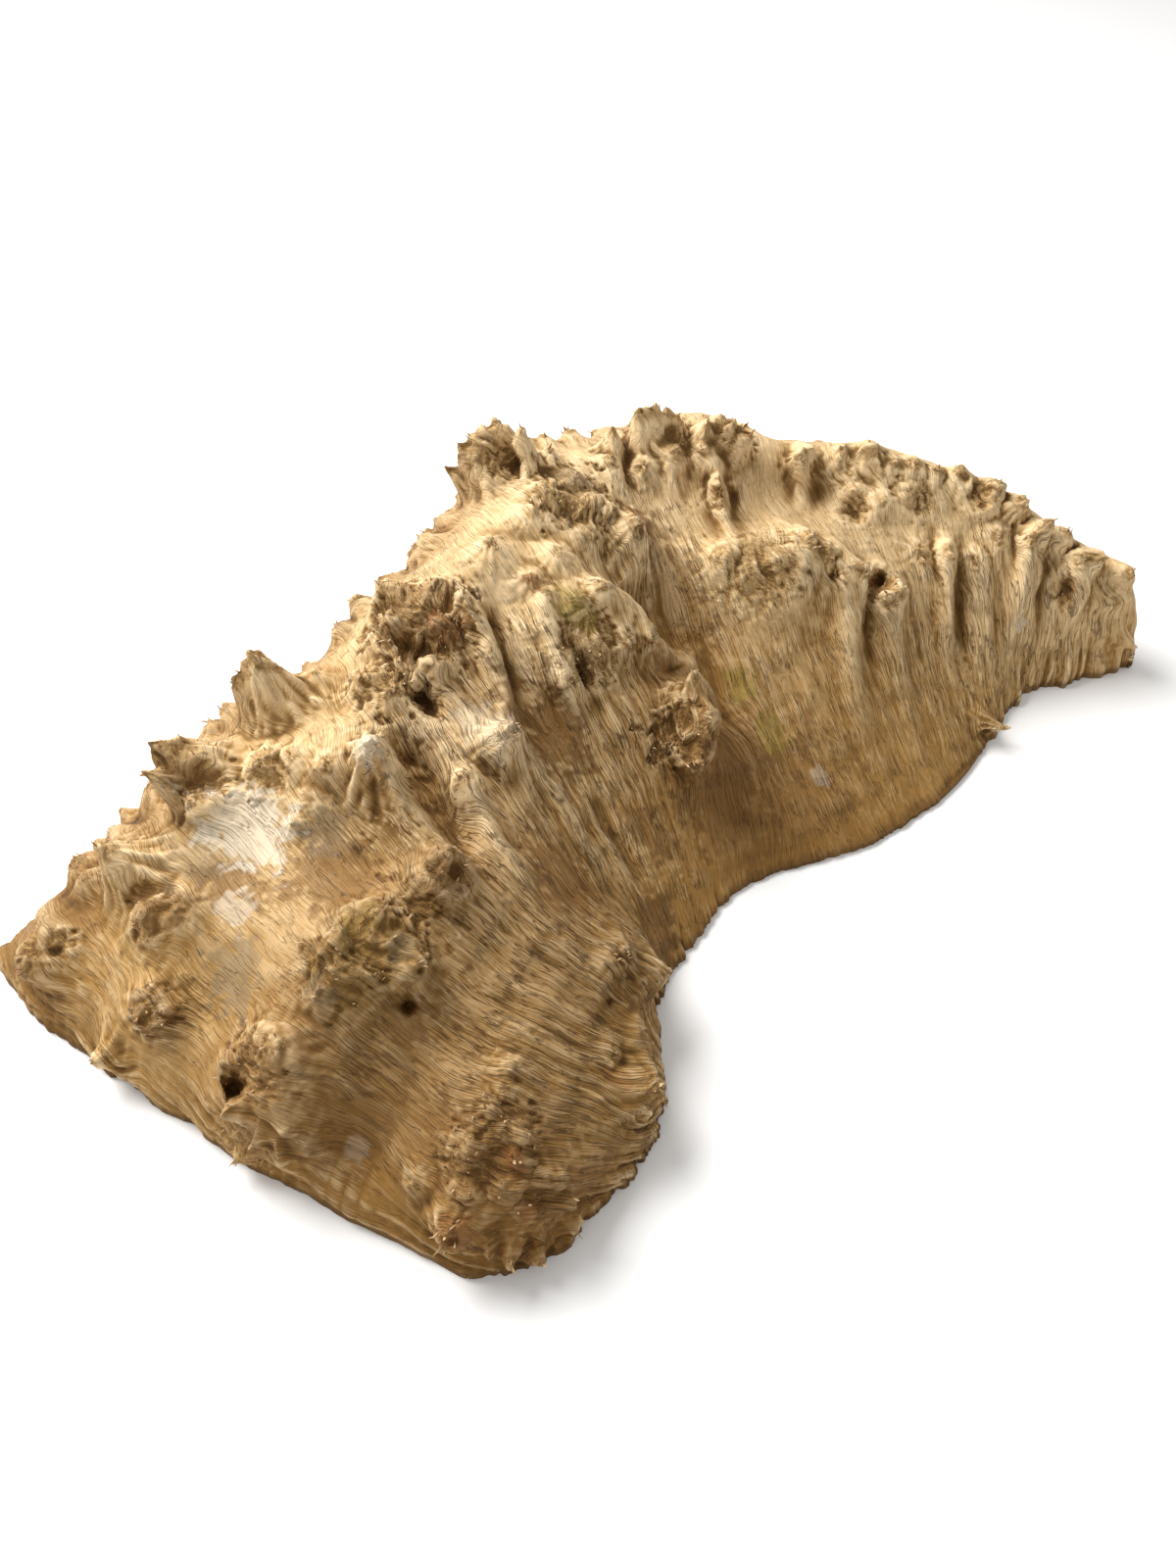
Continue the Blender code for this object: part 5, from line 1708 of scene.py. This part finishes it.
@dataclass(frozen=True)
class WeatheredSkin:
    """Bare weathered wood, cream on its ridges, ochre in its grooves and brown in its knots.

    Painted shade darkens its hollows and some patches, and painted light makes its upper parts paler.
    """

    cream: Colour = srgb(224, 196, 152)
    straw: Colour = srgb(192, 155, 99)
    ochre: Colour = srgb(152, 112, 54)
    umber: Colour = srgb(84, 56, 22)
    knot: Colour = srgb(124, 90, 46)
    # Tint that the painted shade multiplies the colour by
    shade: Colour = (0.42, 0.34, 0.24)
    specular: float = 0.25
    streaks: tuple[float, float] = (1.1 * MM, 16 * MM)
    cracks: tuple[float, float] = (3.4 * MM, 30 * MM)
    hairs: tuple[float, float] = (0.5 * MM, 7 * MM)
    wash: float = 38 * MM
    wear: float = 26 * MM
    blotch: float = 7 * MM
    freckle: float = 3.2 * MM
    speck: float = 1.3 * MM
    relief: float = 0.5 * MM
    stain_colours: dict[PatchKind, Colour] = field(
        default_factory=lambda: {
            PatchKind.AMBER: srgb(118, 80, 30),
            PatchKind.ASH: srgb(128, 112, 88),
            PatchKind.RUST: srgb(128, 82, 38),
            PatchKind.MOSS: srgb(140, 120, 46),
            PatchKind.CHALK: srgb(220, 206, 182),
        }
    )
    stain_strengths: dict[PatchKind, float] = field(
        default_factory=lambda: {
            PatchKind.AMBER: 0.85,
            PatchKind.ASH: 0.6,
            PatchKind.RUST: 0.7,
            PatchKind.MOSS: 0.6,
            PatchKind.CHALK: 0.75,
        }
    )

    def drawn(self, recipe: Recipe, size: tuple[float, float], detail: float) -> Signal:
        """Noise drawn out along the grain, with a width and a length.

        Args:
            recipe: The material's recipe.
            size: Width across the grain and length along it.
            detail: Detail of the noise.

        Returns:
            The noise.
        """
        across = recipe.attribute("across_grain") / size[0]
        along = recipe.attribute("along_grain") / size[1]
        return recipe.noise(recipe.vector(across, along, 0.0), 1.0, detail, 0.5)

    def material(self) -> bpy.types.Material:
        """Makes the material.

        Returns:
            The material.
        """
        recipe = Recipe("weathered_burl")
        place = recipe.place()
        streaks = self.drawn(recipe, self.streaks, 1.5)
        hairs = self.drawn(recipe, self.hairs, 2.0)
        washes = recipe.noise(place, self.wash, 3.0, 0.55)
        mottle = recipe.noise(place, self.blotch, 4.0, 0.6)
        specks = recipe.noise(place, self.speck, 3.0, 0.65)
        knots = recipe.attribute("knots").held()
        fine = recipe.attribute("fine_relief")
        middle = recipe.attribute("middle_relief")
        broad = recipe.attribute("broad_relief")
        height = recipe.attribute("height")
        ridges = abs(streaks - 0.5).between(0.0, 0.06)
        lines = self.drawn(recipe, self.cracks, 2.5)
        cracks = (1 - abs(lines - 0.5).between(0.004, 0.022)) * mottle.between(0.38, 0.52)
        worn = recipe.noise(place, self.wear, 2.0, 0.5).between(0.36, 0.66)
        depth = 0.08 + 0.4 * worn + 0.6 * recipe.attribute("furrows")
        # Painted light: the colour turns paler and more cream higher up and in the painted light patches;
        # lit also rises on raised relief
        sun = 0.85 * height + 0.4 * recipe.attribute("sun")
        pale = sun - 0.10 + 1.1 * (washes - 0.5) + 0.9 * (mottle - 0.5) + 0.2 * ridges
        colour = recipe.mix((pale + middle * 0.3 + broad * 0.08).held(), self.ochre, self.straw)
        lit = sun - 0.28 + 0.9 * (hairs - 0.5) + 0.2 * ridges + fine * 0.9 + middle * 0.35 + broad * 0.05
        colour = recipe.mix(lit.held(), colour, self.cream)
        crumbs = recipe.mix(specks.between(0.35, 0.65), self.knot, self.straw)
        crumbs = recipe.mix((fine * 0.9 + middle * 0.2 - 0.25).held(), crumbs, self.cream)
        colour = recipe.mix(knots.between(0.15, 0.7) * (0.5 + 0.5 * mottle), colour, crumbs)
        gaps = (1 - ridges) * depth * mottle.between(0.30, 0.60)
        colour = recipe.mix(gaps * 0.45, colour, self.umber)
        freckles = recipe.noise(place, self.freckle, 4.0, 0.65).between(0.54, 0.68)
        colour = recipe.mix(freckles * 0.3, colour, self.knot)
        # Painted shade: umber in the grooves and hollows of the relief, where shade falls
        cavity_shade = (fine * -1.8 + middle * -0.45 + broad * -0.07 - 0.25).held()
        colour = recipe.mix(cavity_shade * (0.75 - 0.3 * knots), colour, self.umber)
        # Painted shade: broad hollows and the painted shade patches multiply the colour by the shade tint
        hollow = (middle * -0.25 + broad * -0.12 - 0.08).held()
        uneven = 0.8 + 0.8 * (mottle - 0.5) + 0.5 * (washes - 0.5)
        shaded = recipe.attribute("shade") * uneven + hollow * 0.6
        colour = recipe.mix(shaded.held(), colour, recipe.tinted(colour, self.shade))
        for kind, stain in self.stain_colours.items():
            worked_in = 0.75 + 0.25 * ridges + 0.7 * (specks - 0.5)
            share = (recipe.attribute(kind.name.lower()) * worked_in).held()
            colour = recipe.mix(share * self.stain_strengths[kind], colour, stain)
        colour = recipe.mix(cracks * (0.12 + 0.65 * recipe.attribute("furrows")), colour, self.umber)
        colour = recipe.mix(recipe.attribute("rim_line").held() * 0.7, colour, self.umber)
        relief = 0.9 * ridges * depth + 0.5 * hairs + 0.5 * specks * (0.25 + knots) - 0.8 * cracks
        normal = recipe.bump(relief, self.relief)
        roughness = 0.76 + 0.16 * mottle - 0.2 * recipe.attribute("amber")
        return recipe.finish(colour, roughness, normal, self.specular)


@dataclass(frozen=True)
class SawnFace:
    """The sawn underside: burl figure with small eyes, under shallow marks of a round blade."""

    light: Colour = srgb(206, 166, 116)
    dark: Colour = srgb(146, 102, 58)
    eye: Colour = srgb(92, 58, 30)
    specular: float = 0.3
    figure: float = 34 * MM
    eye_gap: float = 9 * MM
    cluster: float = 45 * MM
    fibre: float = 1.6 * MM
    mark_gap: float = 3.2 * MM
    blade_at: float = 0.31

    def material(self) -> bpy.types.Material:
        """Makes the material.

        Returns:
            The material.
        """
        recipe = Recipe("sawn_burl")
        place = recipe.place()
        swirl = recipe.noise(place, self.figure, 4.0, 0.55)
        rings = recipe.noise(recipe.vector(swirl * 14.0, 0.0, 0.0), 1.0, 2.0, 0.5)
        inputs = {"Vector": place, "Scale": 1 / self.eye_gap, "Randomness": 1.0}
        spots = recipe.node("ShaderNodeTexVoronoi", {"feature": "F1"}, inputs)
        clusters = recipe.noise(place, self.cluster, 1.0).between(0.5, 0.62)
        colour = recipe.mix(rings.between(0.3, 0.7), self.light, self.dark)
        eyes = (1 - spots.between(0.08, 0.26)) * clusters
        colour = recipe.mix(eyes * 0.85, colour, self.eye)
        fibres = recipe.noise(place, self.fibre, 3.0, 0.6)
        colour = recipe.mix(fibres.between(0.55, 0.75) * 0.25, colour, self.dark)
        parts = recipe.add("ShaderNodeSeparateXYZ", {}, {0: place})
        first = Signal(recipe, parts.outputs[0])
        second = Signal(recipe, parts.outputs[1])
        square = first * first + (second + self.blade_at) ** 2.0
        reach = recipe.node("ShaderNodeMath", {"operation": "SQRT"}, {0: square})
        turns = reach * (2 * math.pi / self.mark_gap)
        marks = recipe.node("ShaderNodeMath", {"operation": "SINE"}, {0: turns})
        height = 0.5 * marks * (0.4 + 0.6 * swirl) + 0.5 * fibres
        normal = recipe.bump(height, 0.15 * MM)
        colour = recipe.mix((marks * 0.5 + 0.5) * 0.16, colour, self.dark)
        return recipe.finish(colour, 0.62 + 0.2 * fibres, normal, self.specular)


@dataclass(frozen=True)
class BrokenFibre:
    """Torn wood fibre: cream, ochre or rust-brown, one tone to a splinter."""

    cream: Colour = srgb(226, 200, 160)
    ochre: Colour = srgb(158, 118, 68)
    rust: Colour = srgb(134, 84, 40)
    specular: float = 0.2

    def material(self) -> bpy.types.Material:
        """Makes the material.

        Returns:
            The material.
        """
        recipe = Recipe("broken_fibre")
        tone = recipe.attribute("tone")
        grit = recipe.noise(recipe.place(), 0.9 * MM, 2.0)
        colour = recipe.mix(tone.held(), self.ochre, self.cream)
        colour = recipe.mix((0.12 - tone).between(0.0, 0.1) * 0.8, colour, self.rust)
        colour = recipe.mix(grit.between(0.45, 0.7) * 0.35, colour, self.ochre)
        colour = recipe.mix((1 - recipe.attribute("tip")) * 0.35, colour, self.rust)
        return recipe.finish(colour, 0.8 + 0.1 * grit, recipe.bump(grit, 0.2 * MM), self.specular)


@dataclass(frozen=True)
class PaleFloor:
    """A plain pale matt floor."""

    colour: Colour = srgb(246, 245, 243)
    specular: float = 0.1

    def material(self) -> bpy.types.Material:
        """Makes the material.

        Returns:
            The material.
        """
        recipe = Recipe("pale_floor")
        grain = recipe.noise(recipe.place(), 30 * MM, 2.0)
        colour = recipe.mix(grain * 0.04, self.colour, srgb(238, 236, 233))
        return recipe.finish(colour, 0.85 + 0.05 * grain, recipe.bump(grain, 0.02 * MM), self.specular)


def mesh_of(
    name: str, points: Array, corners: Array, starts: Array, numbers: dict[str, Array]
) -> bpy.types.Mesh:
    """Builds a mesh quickly from arrays.

    Args:
        name: The mesh's name.
        points: The vertices.
        corners: Vertex numbers of every face, one face after the other.
        starts: Place of each face's first corner.
        numbers: Values that the mesh carries at each vertex, by name.

    Returns:
        The mesh.
    """
    mesh = bpy.data.meshes.new(name)
    mesh.vertices.add(len(points))
    mesh.vertices.foreach_set("co", points.astype(np.float32).ravel())
    mesh.loops.add(len(corners))
    mesh.loops.foreach_set("vertex_index", corners.astype(np.int32))
    mesh.polygons.add(len(starts))
    mesh.polygons.foreach_set("loop_start", starts.astype(np.int32))
    mesh.update(calc_edges=True)
    mesh.validate()
    for key, values in numbers.items():
        layer = mesh.attributes.new(key, "FLOAT", "POINT")
        layer.data.foreach_set("value", values.astype(np.float32).ravel())
    return mesh


@dataclass(frozen=True)
class Placing:
    """The turn and the shift from the surveyed frame to the part's own frame."""

    turn: float
    shift: Array

    @classmethod
    def of(cls, points: Array) -> Placing:
        """Turns the cap's length onto X, and centres its bounding box on the solid's.

        Args:
            points: The guide skin's points in the surveyed frame.

        Returns:
            The turn and the shift.
        """
        turned = cls(TURN, np.zeros(3)).place(points).reshape(-1, 3)
        low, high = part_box(NODE)
        middle = (np.array(low) + np.array(high)) / 2
        shift = middle - (turned.min(axis=0) + turned.max(axis=0)) / 2
        return cls(TURN, np.array([shift[0], shift[1], 0.0]))

    def turned(self, vectors: Array) -> Array:
        """Directions in the part's own frame.

        Args:
            vectors: Directions in the surveyed frame.

        Returns:
            The turned directions.
        """
        cosine, sine = math.cos(self.turn), math.sin(self.turn)
        across = vectors[..., 0] * cosine - vectors[..., 1] * sine
        away = vectors[..., 0] * sine + vectors[..., 1] * cosine
        return np.stack([across, away, vectors[..., 2]], axis=-1)

    def place(self, points: Array) -> Array:
        """Points in the part's own frame."""
        return self.turned(points) + self.shift


@dataclass
class BurlSkin:
    """The cap's surface: grown skin, low rim wall and sawn underside, in three closed lengths.

    The lengths meet on upright walls inside the wood, and share their points there, so that
    the surface runs on without a step.
    """

    form: CapForm
    placing: Placing
    names: tuple[str, str, str] = ("burl_near", "burl_middle", "burl_far")
    rim_line_height: float = 1.4 * MM
    full_height: float = 0.12

    def build(self) -> list[bpy.types.Object]:
        """Builds the three lengths in their two finishes.

        Returns:
            The three pieces.
        """
        skin = self.form.skin
        points = self.placing.place(skin.points)
        normals = self.placing.turned(skin.normals)
        numbers = {
            "across_grain": self.form.across_grain,
            "along_grain": self.form.along_grain,
            "knots": skin.knots,
            "fine_relief": self.form.relief[0],
            "middle_relief": self.form.relief[1],
            "broad_relief": self.form.relief[2],
            "height": skin.points[..., 2] / self.full_height,
            "rim_line": np.exp(-(((skin.points[..., 2] - LIP) / self.rim_line_height) ** 2)),
        }
        for kind, mask in self.form.patch_masks.items():
            numbers[kind.name.lower()] = mask
        finishes = (WeatheredSkin().material(), SawnFace().material())
        last = len(points) - 1
        ends = [round(last * number / len(self.names)) for number in range(len(self.names) + 1)]
        pieces = []
        for number, name in enumerate(self.names):
            rows = slice(ends[number], ends[number + 1] + 1)
            cut = {key: values[rows] for key, values in numbers.items()}
            cuts = (number > 0, number < len(self.names) - 1)
            mesh = self._length(name, points[rows], normals[rows], cut, cuts)
            piece = bpy.data.objects.new(name, mesh)
            bpy.context.scene.collection.objects.link(piece)
            for finish in finishes:
                piece.data.materials.append(finish)
            LOG.info("%s: %d faces", name, len(mesh.polygons))
            pieces.append(piece)
        return pieces

    @staticmethod
    def _feet(points: Array, rim: Array, cuts: tuple[bool, bool]) -> Array:
        """Points on the saw cut under the edge: straight below the rim, and in a line at a cut.

        Args:
            points: Grid of the length's skin points.
            rim: Numbers of the points round its edge.
            cuts: Whether its first and its last row is a cut inside the wood.

        Returns:
            A foot for each point of the edge.
        """
        rows, points_across = points.shape[:2]
        feet = points.reshape(-1, 3)[rim] * np.array([1.0, 1.0, 0.0])
        share = np.arange(points_across)[:, None] / (points_across - 1)
        if cuts[0]:
            feet[:points_across] = feet[0] * (1 - share) + feet[points_across - 1] * share
        if cuts[1]:
            corner = points_across + rows - 2
            feet[corner : corner + points_across] = (
                feet[corner] * (1 - share) + feet[corner + points_across - 1] * share
            )
        return feet

    def _length(
        self,
        name: str,
        points: Array,
        normals: Array,
        numbers: dict[str, Array],
        cuts: tuple[bool, bool],
    ) -> bpy.types.Mesh:
        """Builds one closed length.

        Args:
            name: The mesh's name.
            points: Grid of the length's skin points.
            normals: The whole skin's normals at those points.
            numbers: Values carried at those points, by name.
            cuts: Whether its first and its last row is a cut inside the wood.

        Returns:
            The mesh, with its base in the second finish.
        """
        rows, points_across = points.shape[:2]
        grid = np.arange(rows * points_across).reshape(rows, points_across)
        cells = np.stack([grid[:-1, :-1], grid[:-1, 1:], grid[1:, 1:], grid[1:, :-1]], axis=-1)
        cells = cells.reshape(-1, 4)
        rim = np.concatenate([grid[0, :-1], grid[:-1, -1], grid[-1, :0:-1], grid[:0:-1, 0]])
        feet_at = rows * points_across + np.arange(len(rim))
        wall = np.stack([rim, feet_at, np.roll(feet_at, -1), np.roll(rim, -1)], axis=-1)
        feet = self._feet(points, rim, cuts)
        base = np.array(geometry.tessellate_polygon([[Vector(foot) for foot in feet]]))
        corner = feet[base]
        turn = np.cross(corner[:, 1] - corner[:, 0], corner[:, 2] - corner[:, 0])[:, 2]
        base[turn > 0] = base[turn > 0][:, ::-1]
        flat = points.reshape(-1, 3)
        diagonal = np.cross(flat[cells[:, 2]] - flat[cells[:, 0]], flat[cells[:, 3]] - flat[cells[:, 1]])
        if diagonal[:, 2].sum() < 0:
            cells, wall = cells[:, ::-1], wall[:, ::-1]
        corners = np.concatenate([cells.ravel(), wall.ravel(), feet_at[base].ravel()])
        quads = 4 * (len(cells) + len(wall))
        starts = np.concatenate([np.arange(0, quads, 4), quads + np.arange(0, base.size, 3)])
        carried = {}
        for key, values in numbers.items():
            carried[key] = np.concatenate([values.ravel(), values.ravel()[rim]])
        mesh = mesh_of(name, np.concatenate([flat, feet]), corners, starts, carried)
        finish = np.zeros(len(starts), dtype=np.int32)
        finish[-len(base) :] = 1
        mesh.polygons.foreach_set("material_index", finish)
        smooth = np.zeros(len(starts), dtype=bool)
        smooth[: len(cells)] = True
        mesh.polygons.foreach_set("use_smooth", smooth)
        shading = np.zeros((len(corners), 3))
        shading[: cells.size] = normals.reshape(-1, 3)[cells.ravel()]
        mesh.normals_split_custom_set(shading.tolist())
        return mesh


@dataclass
class Splinters:
    """Torn fibres that stand out of the knots, each a closed sliver rooted in the wood.

    taper pairs shares of a sliver's length with its girth there.
    """

    form: CapForm
    placing: Placing
    name: str = "splinters"
    count: int = 800
    seed: int = 5
    root: float = 1.6 * MM
    lengths: tuple[float, float] = (1.2 * MM, 3.4 * MM)
    widths: tuple[float, float] = (0.5 * MM, 1.2 * MM)
    sides: int = 4
    taper: tuple[tuple[float, float], ...] = ((0.0, 1.0), (0.55, 0.8), (1.0, 0.22))
    flatness: tuple[float, float] = (0.4, 1.0)
    bend: float = 0.12
    scatter: float = 0.22
    lowest: float = 0.6 * MM

    def _places(self, draw: np.random.RandomState) -> Array:
        """Draws grid points for the roots, mostly on the knots' upper parts.

        Args:
            draw: Source of the random draws.

        Returns:
            Numbers of the skin's points.
        """
        skin = self.form.skin
        weight = np.clip(skin.knots - 0.35, 0, 1) ** 1.5 * (1 + np.clip(self.form.relief[2], 0, 2))
        weight[:4] = weight[-4:] = 0
        weight[:, :4] = weight[:, -4:] = 0
        weight = weight.ravel()
        return draw.choice(len(weight), size=self.count, p=weight / weight.sum())

    def _pulls(self, points: Array, normals: Array) -> Array:
        """Direction in which the nearest spurs drew the fibres out.

        Args:
            points: Roots of the slivers.
            normals: The skin's normals there.

        Returns:
            A unit direction for each sliver.
        """
        total = 0.5 * normals
        for anchor, spur in self.form.spurs:
            pull = anchor.apex - anchor.foot
            reach = spur.spread * MM
            near = np.exp(-(np.linalg.norm(points - anchor.apex, axis=1) / reach) ** 2)
            total = total + near[:, None] * pull / np.linalg.norm(pull)
        return total / np.linalg.norm(total, axis=1, keepdims=True)

    def build(self) -> bpy.types.Object:
        """Builds all slivers as one piece.

        Returns:
            The piece.
        """
        draw = np.random.RandomState(self.seed)
        skin = self.form.skin
        chosen = self._places(draw)
        points = skin.points.reshape(-1, 3)[chosen]
        normals = skin.normals.reshape(-1, 3)[chosen]
        way = self._pulls(points, normals) + self.scatter * draw.normal(size=points.shape)
        way /= np.linalg.norm(way, axis=1, keepdims=True)
        side = np.cross(way, draw.normal(size=points.shape))
        side /= np.linalg.norm(side, axis=1, keepdims=True)
        other = np.cross(way, side)
        each = (self.count, 1)
        length = draw.uniform(*self.lengths, size=each) * draw.uniform(0.5, 1.0, size=each)
        width = draw.uniform(*self.widths, size=each)
        flat = draw.uniform(*self.flatness, size=each)
        bend = draw.normal(size=points.shape) * self.bend * length
        rings = []
        tips = []
        for share, girth in self.taper:
            middle = points + way * (share * length - self.root * (share == 0.0)) + bend * share**2
            for number in range(self.sides):
                angle = 2 * math.pi * (number + 0.5) / self.sides
                offset = side * math.cos(angle) + other * math.sin(angle) * flat
                rings.append(middle + offset * width * girth / 2)
                tips.append(np.full(self.count, share))
        vertices = np.stack(rings, axis=1).reshape(-1, 3)
        per_sliver = len(self.taper) * self.sides
        faces = [list(range(self.sides))[::-1], list(range(per_sliver - self.sides, per_sliver))]
        for ring in range(0, per_sliver - self.sides, self.sides):
            for number in range(self.sides):
                first = ring + number
                second = ring + (number + 1) % self.sides
                faces.append([first, second, second + self.sides, first + self.sides])
        pattern = np.array([corner for face in faces for corner in face])
        corners = (np.arange(self.count)[:, None] * per_sliver + pattern).ravel()
        starts = np.arange(0, len(corners), self.sides)
        tone = np.repeat(draw.uniform(0, 1, self.count), per_sliver)
        numbers = {"tone": tone, "tip": np.stack(tips, axis=1).ravel()}
        placed = self.placing.place(vertices)
        placed[:, 2] = np.maximum(placed[:, 2], self.lowest)
        mesh = mesh_of(self.name, placed, corners, starts, numbers)
        mesh.polygons.foreach_set("use_smooth", np.zeros(len(mesh.polygons), bool))
        piece = bpy.data.objects.new(self.name, mesh)
        bpy.context.scene.collection.objects.link(piece)
        piece.data.materials.append(BrokenFibre().material())
        LOG.info("%s: %d slivers", piece.name, self.count)
        return piece


@dataclass
class Studio:
    """The plain floor, the soft light and the camera."""

    placing: Placing
    floor_reach: float = 3.0
    lamp_at: tuple[float, float, float] = (-0.62, 0.80, 0.85)
    lamp_aim: tuple[float, float, float] = (0.05, 0.50, 0.0)
    lamp_size: float = 0.8
    lamp_power: float = 24.0
    sky_strength: float = 0.64
    film_width: float = 36.0
    picture_height: float = 1600.0

    def floor(self) -> bpy.types.Object:
        """Builds the floor.

        Returns:
            The floor.
        """
        reach = self.floor_reach
        corners = [(-reach, -reach, 0), (reach, -reach, 0), (reach, reach, 0), (-reach, reach, 0)]
        mesh = bpy.data.meshes.new("floor")
        mesh.from_pydata(corners, [], [(0, 1, 2, 3)])
        piece = bpy.data.objects.new("floor", mesh)
        bpy.context.scene.collection.objects.link(piece)
        piece.data.materials.append(PaleFloor().material())
        return piece

    def light(self) -> None:
        """Sets one broad soft lamp and an even white surround."""
        data = bpy.data.lights.new("soft_lamp", "AREA")
        data.energy = self.lamp_power
        data.size = self.lamp_size
        lamp = bpy.data.objects.new("soft_lamp", data)
        spot = self.placing.place(np.array(self.lamp_at))
        aim = self.placing.place(np.array(self.lamp_aim))
        lamp.location = Vector(spot)
        lamp.rotation_euler = Vector(aim - spot).to_track_quat("-Z", "Y").to_euler()
        bpy.context.scene.collection.objects.link(lamp)
        world = bpy.data.worlds.new("surround")
        world.use_nodes = True
        background = world.node_tree.nodes["Background"]
        background.inputs["Color"].default_value = (1.0, 1.0, 1.0, 1.0)
        background.inputs["Strength"].default_value = self.sky_strength
        bpy.context.scene.world = world

    def camera(self) -> None:
        """Sets the camera where the photograph was taken from."""
        data = bpy.data.cameras.new("viewpoint")
        data.sensor_width = self.film_width
        data.lens = SIGHTING.focal_px * self.film_width / self.picture_height
        data.clip_start = 0.01
        camera = bpy.data.objects.new("viewpoint", data)
        camera.location = Vector(self.placing.place(np.array(SIGHTING.eye)))
        camera.rotation_euler = (math.pi / 2 - SIGHTING.pitch, 0.0, self.placing.turn)
        bpy.context.scene.collection.objects.link(camera)
        bpy.context.scene.camera = camera


def main() -> None:
    """Builds and dresses the burl cap, and sets the studio."""
    logging.basicConfig(level=logging.INFO)
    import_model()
    bpy.context.scene.view_settings.view_transform = "Standard"
    form = CapForm()
    placing = Placing.of(form.guide.points)
    pieces = [*BurlSkin(form, placing).build(), Splinters(form, placing).build()]
    for piece in pieces:
        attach(piece, BODY)
        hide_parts(NODE)
    studio = Studio(placing)
    studio.floor()
    studio.light()
    studio.camera()
    bpy.context.view_layer.update()


if __name__ == "__main__":
    main()
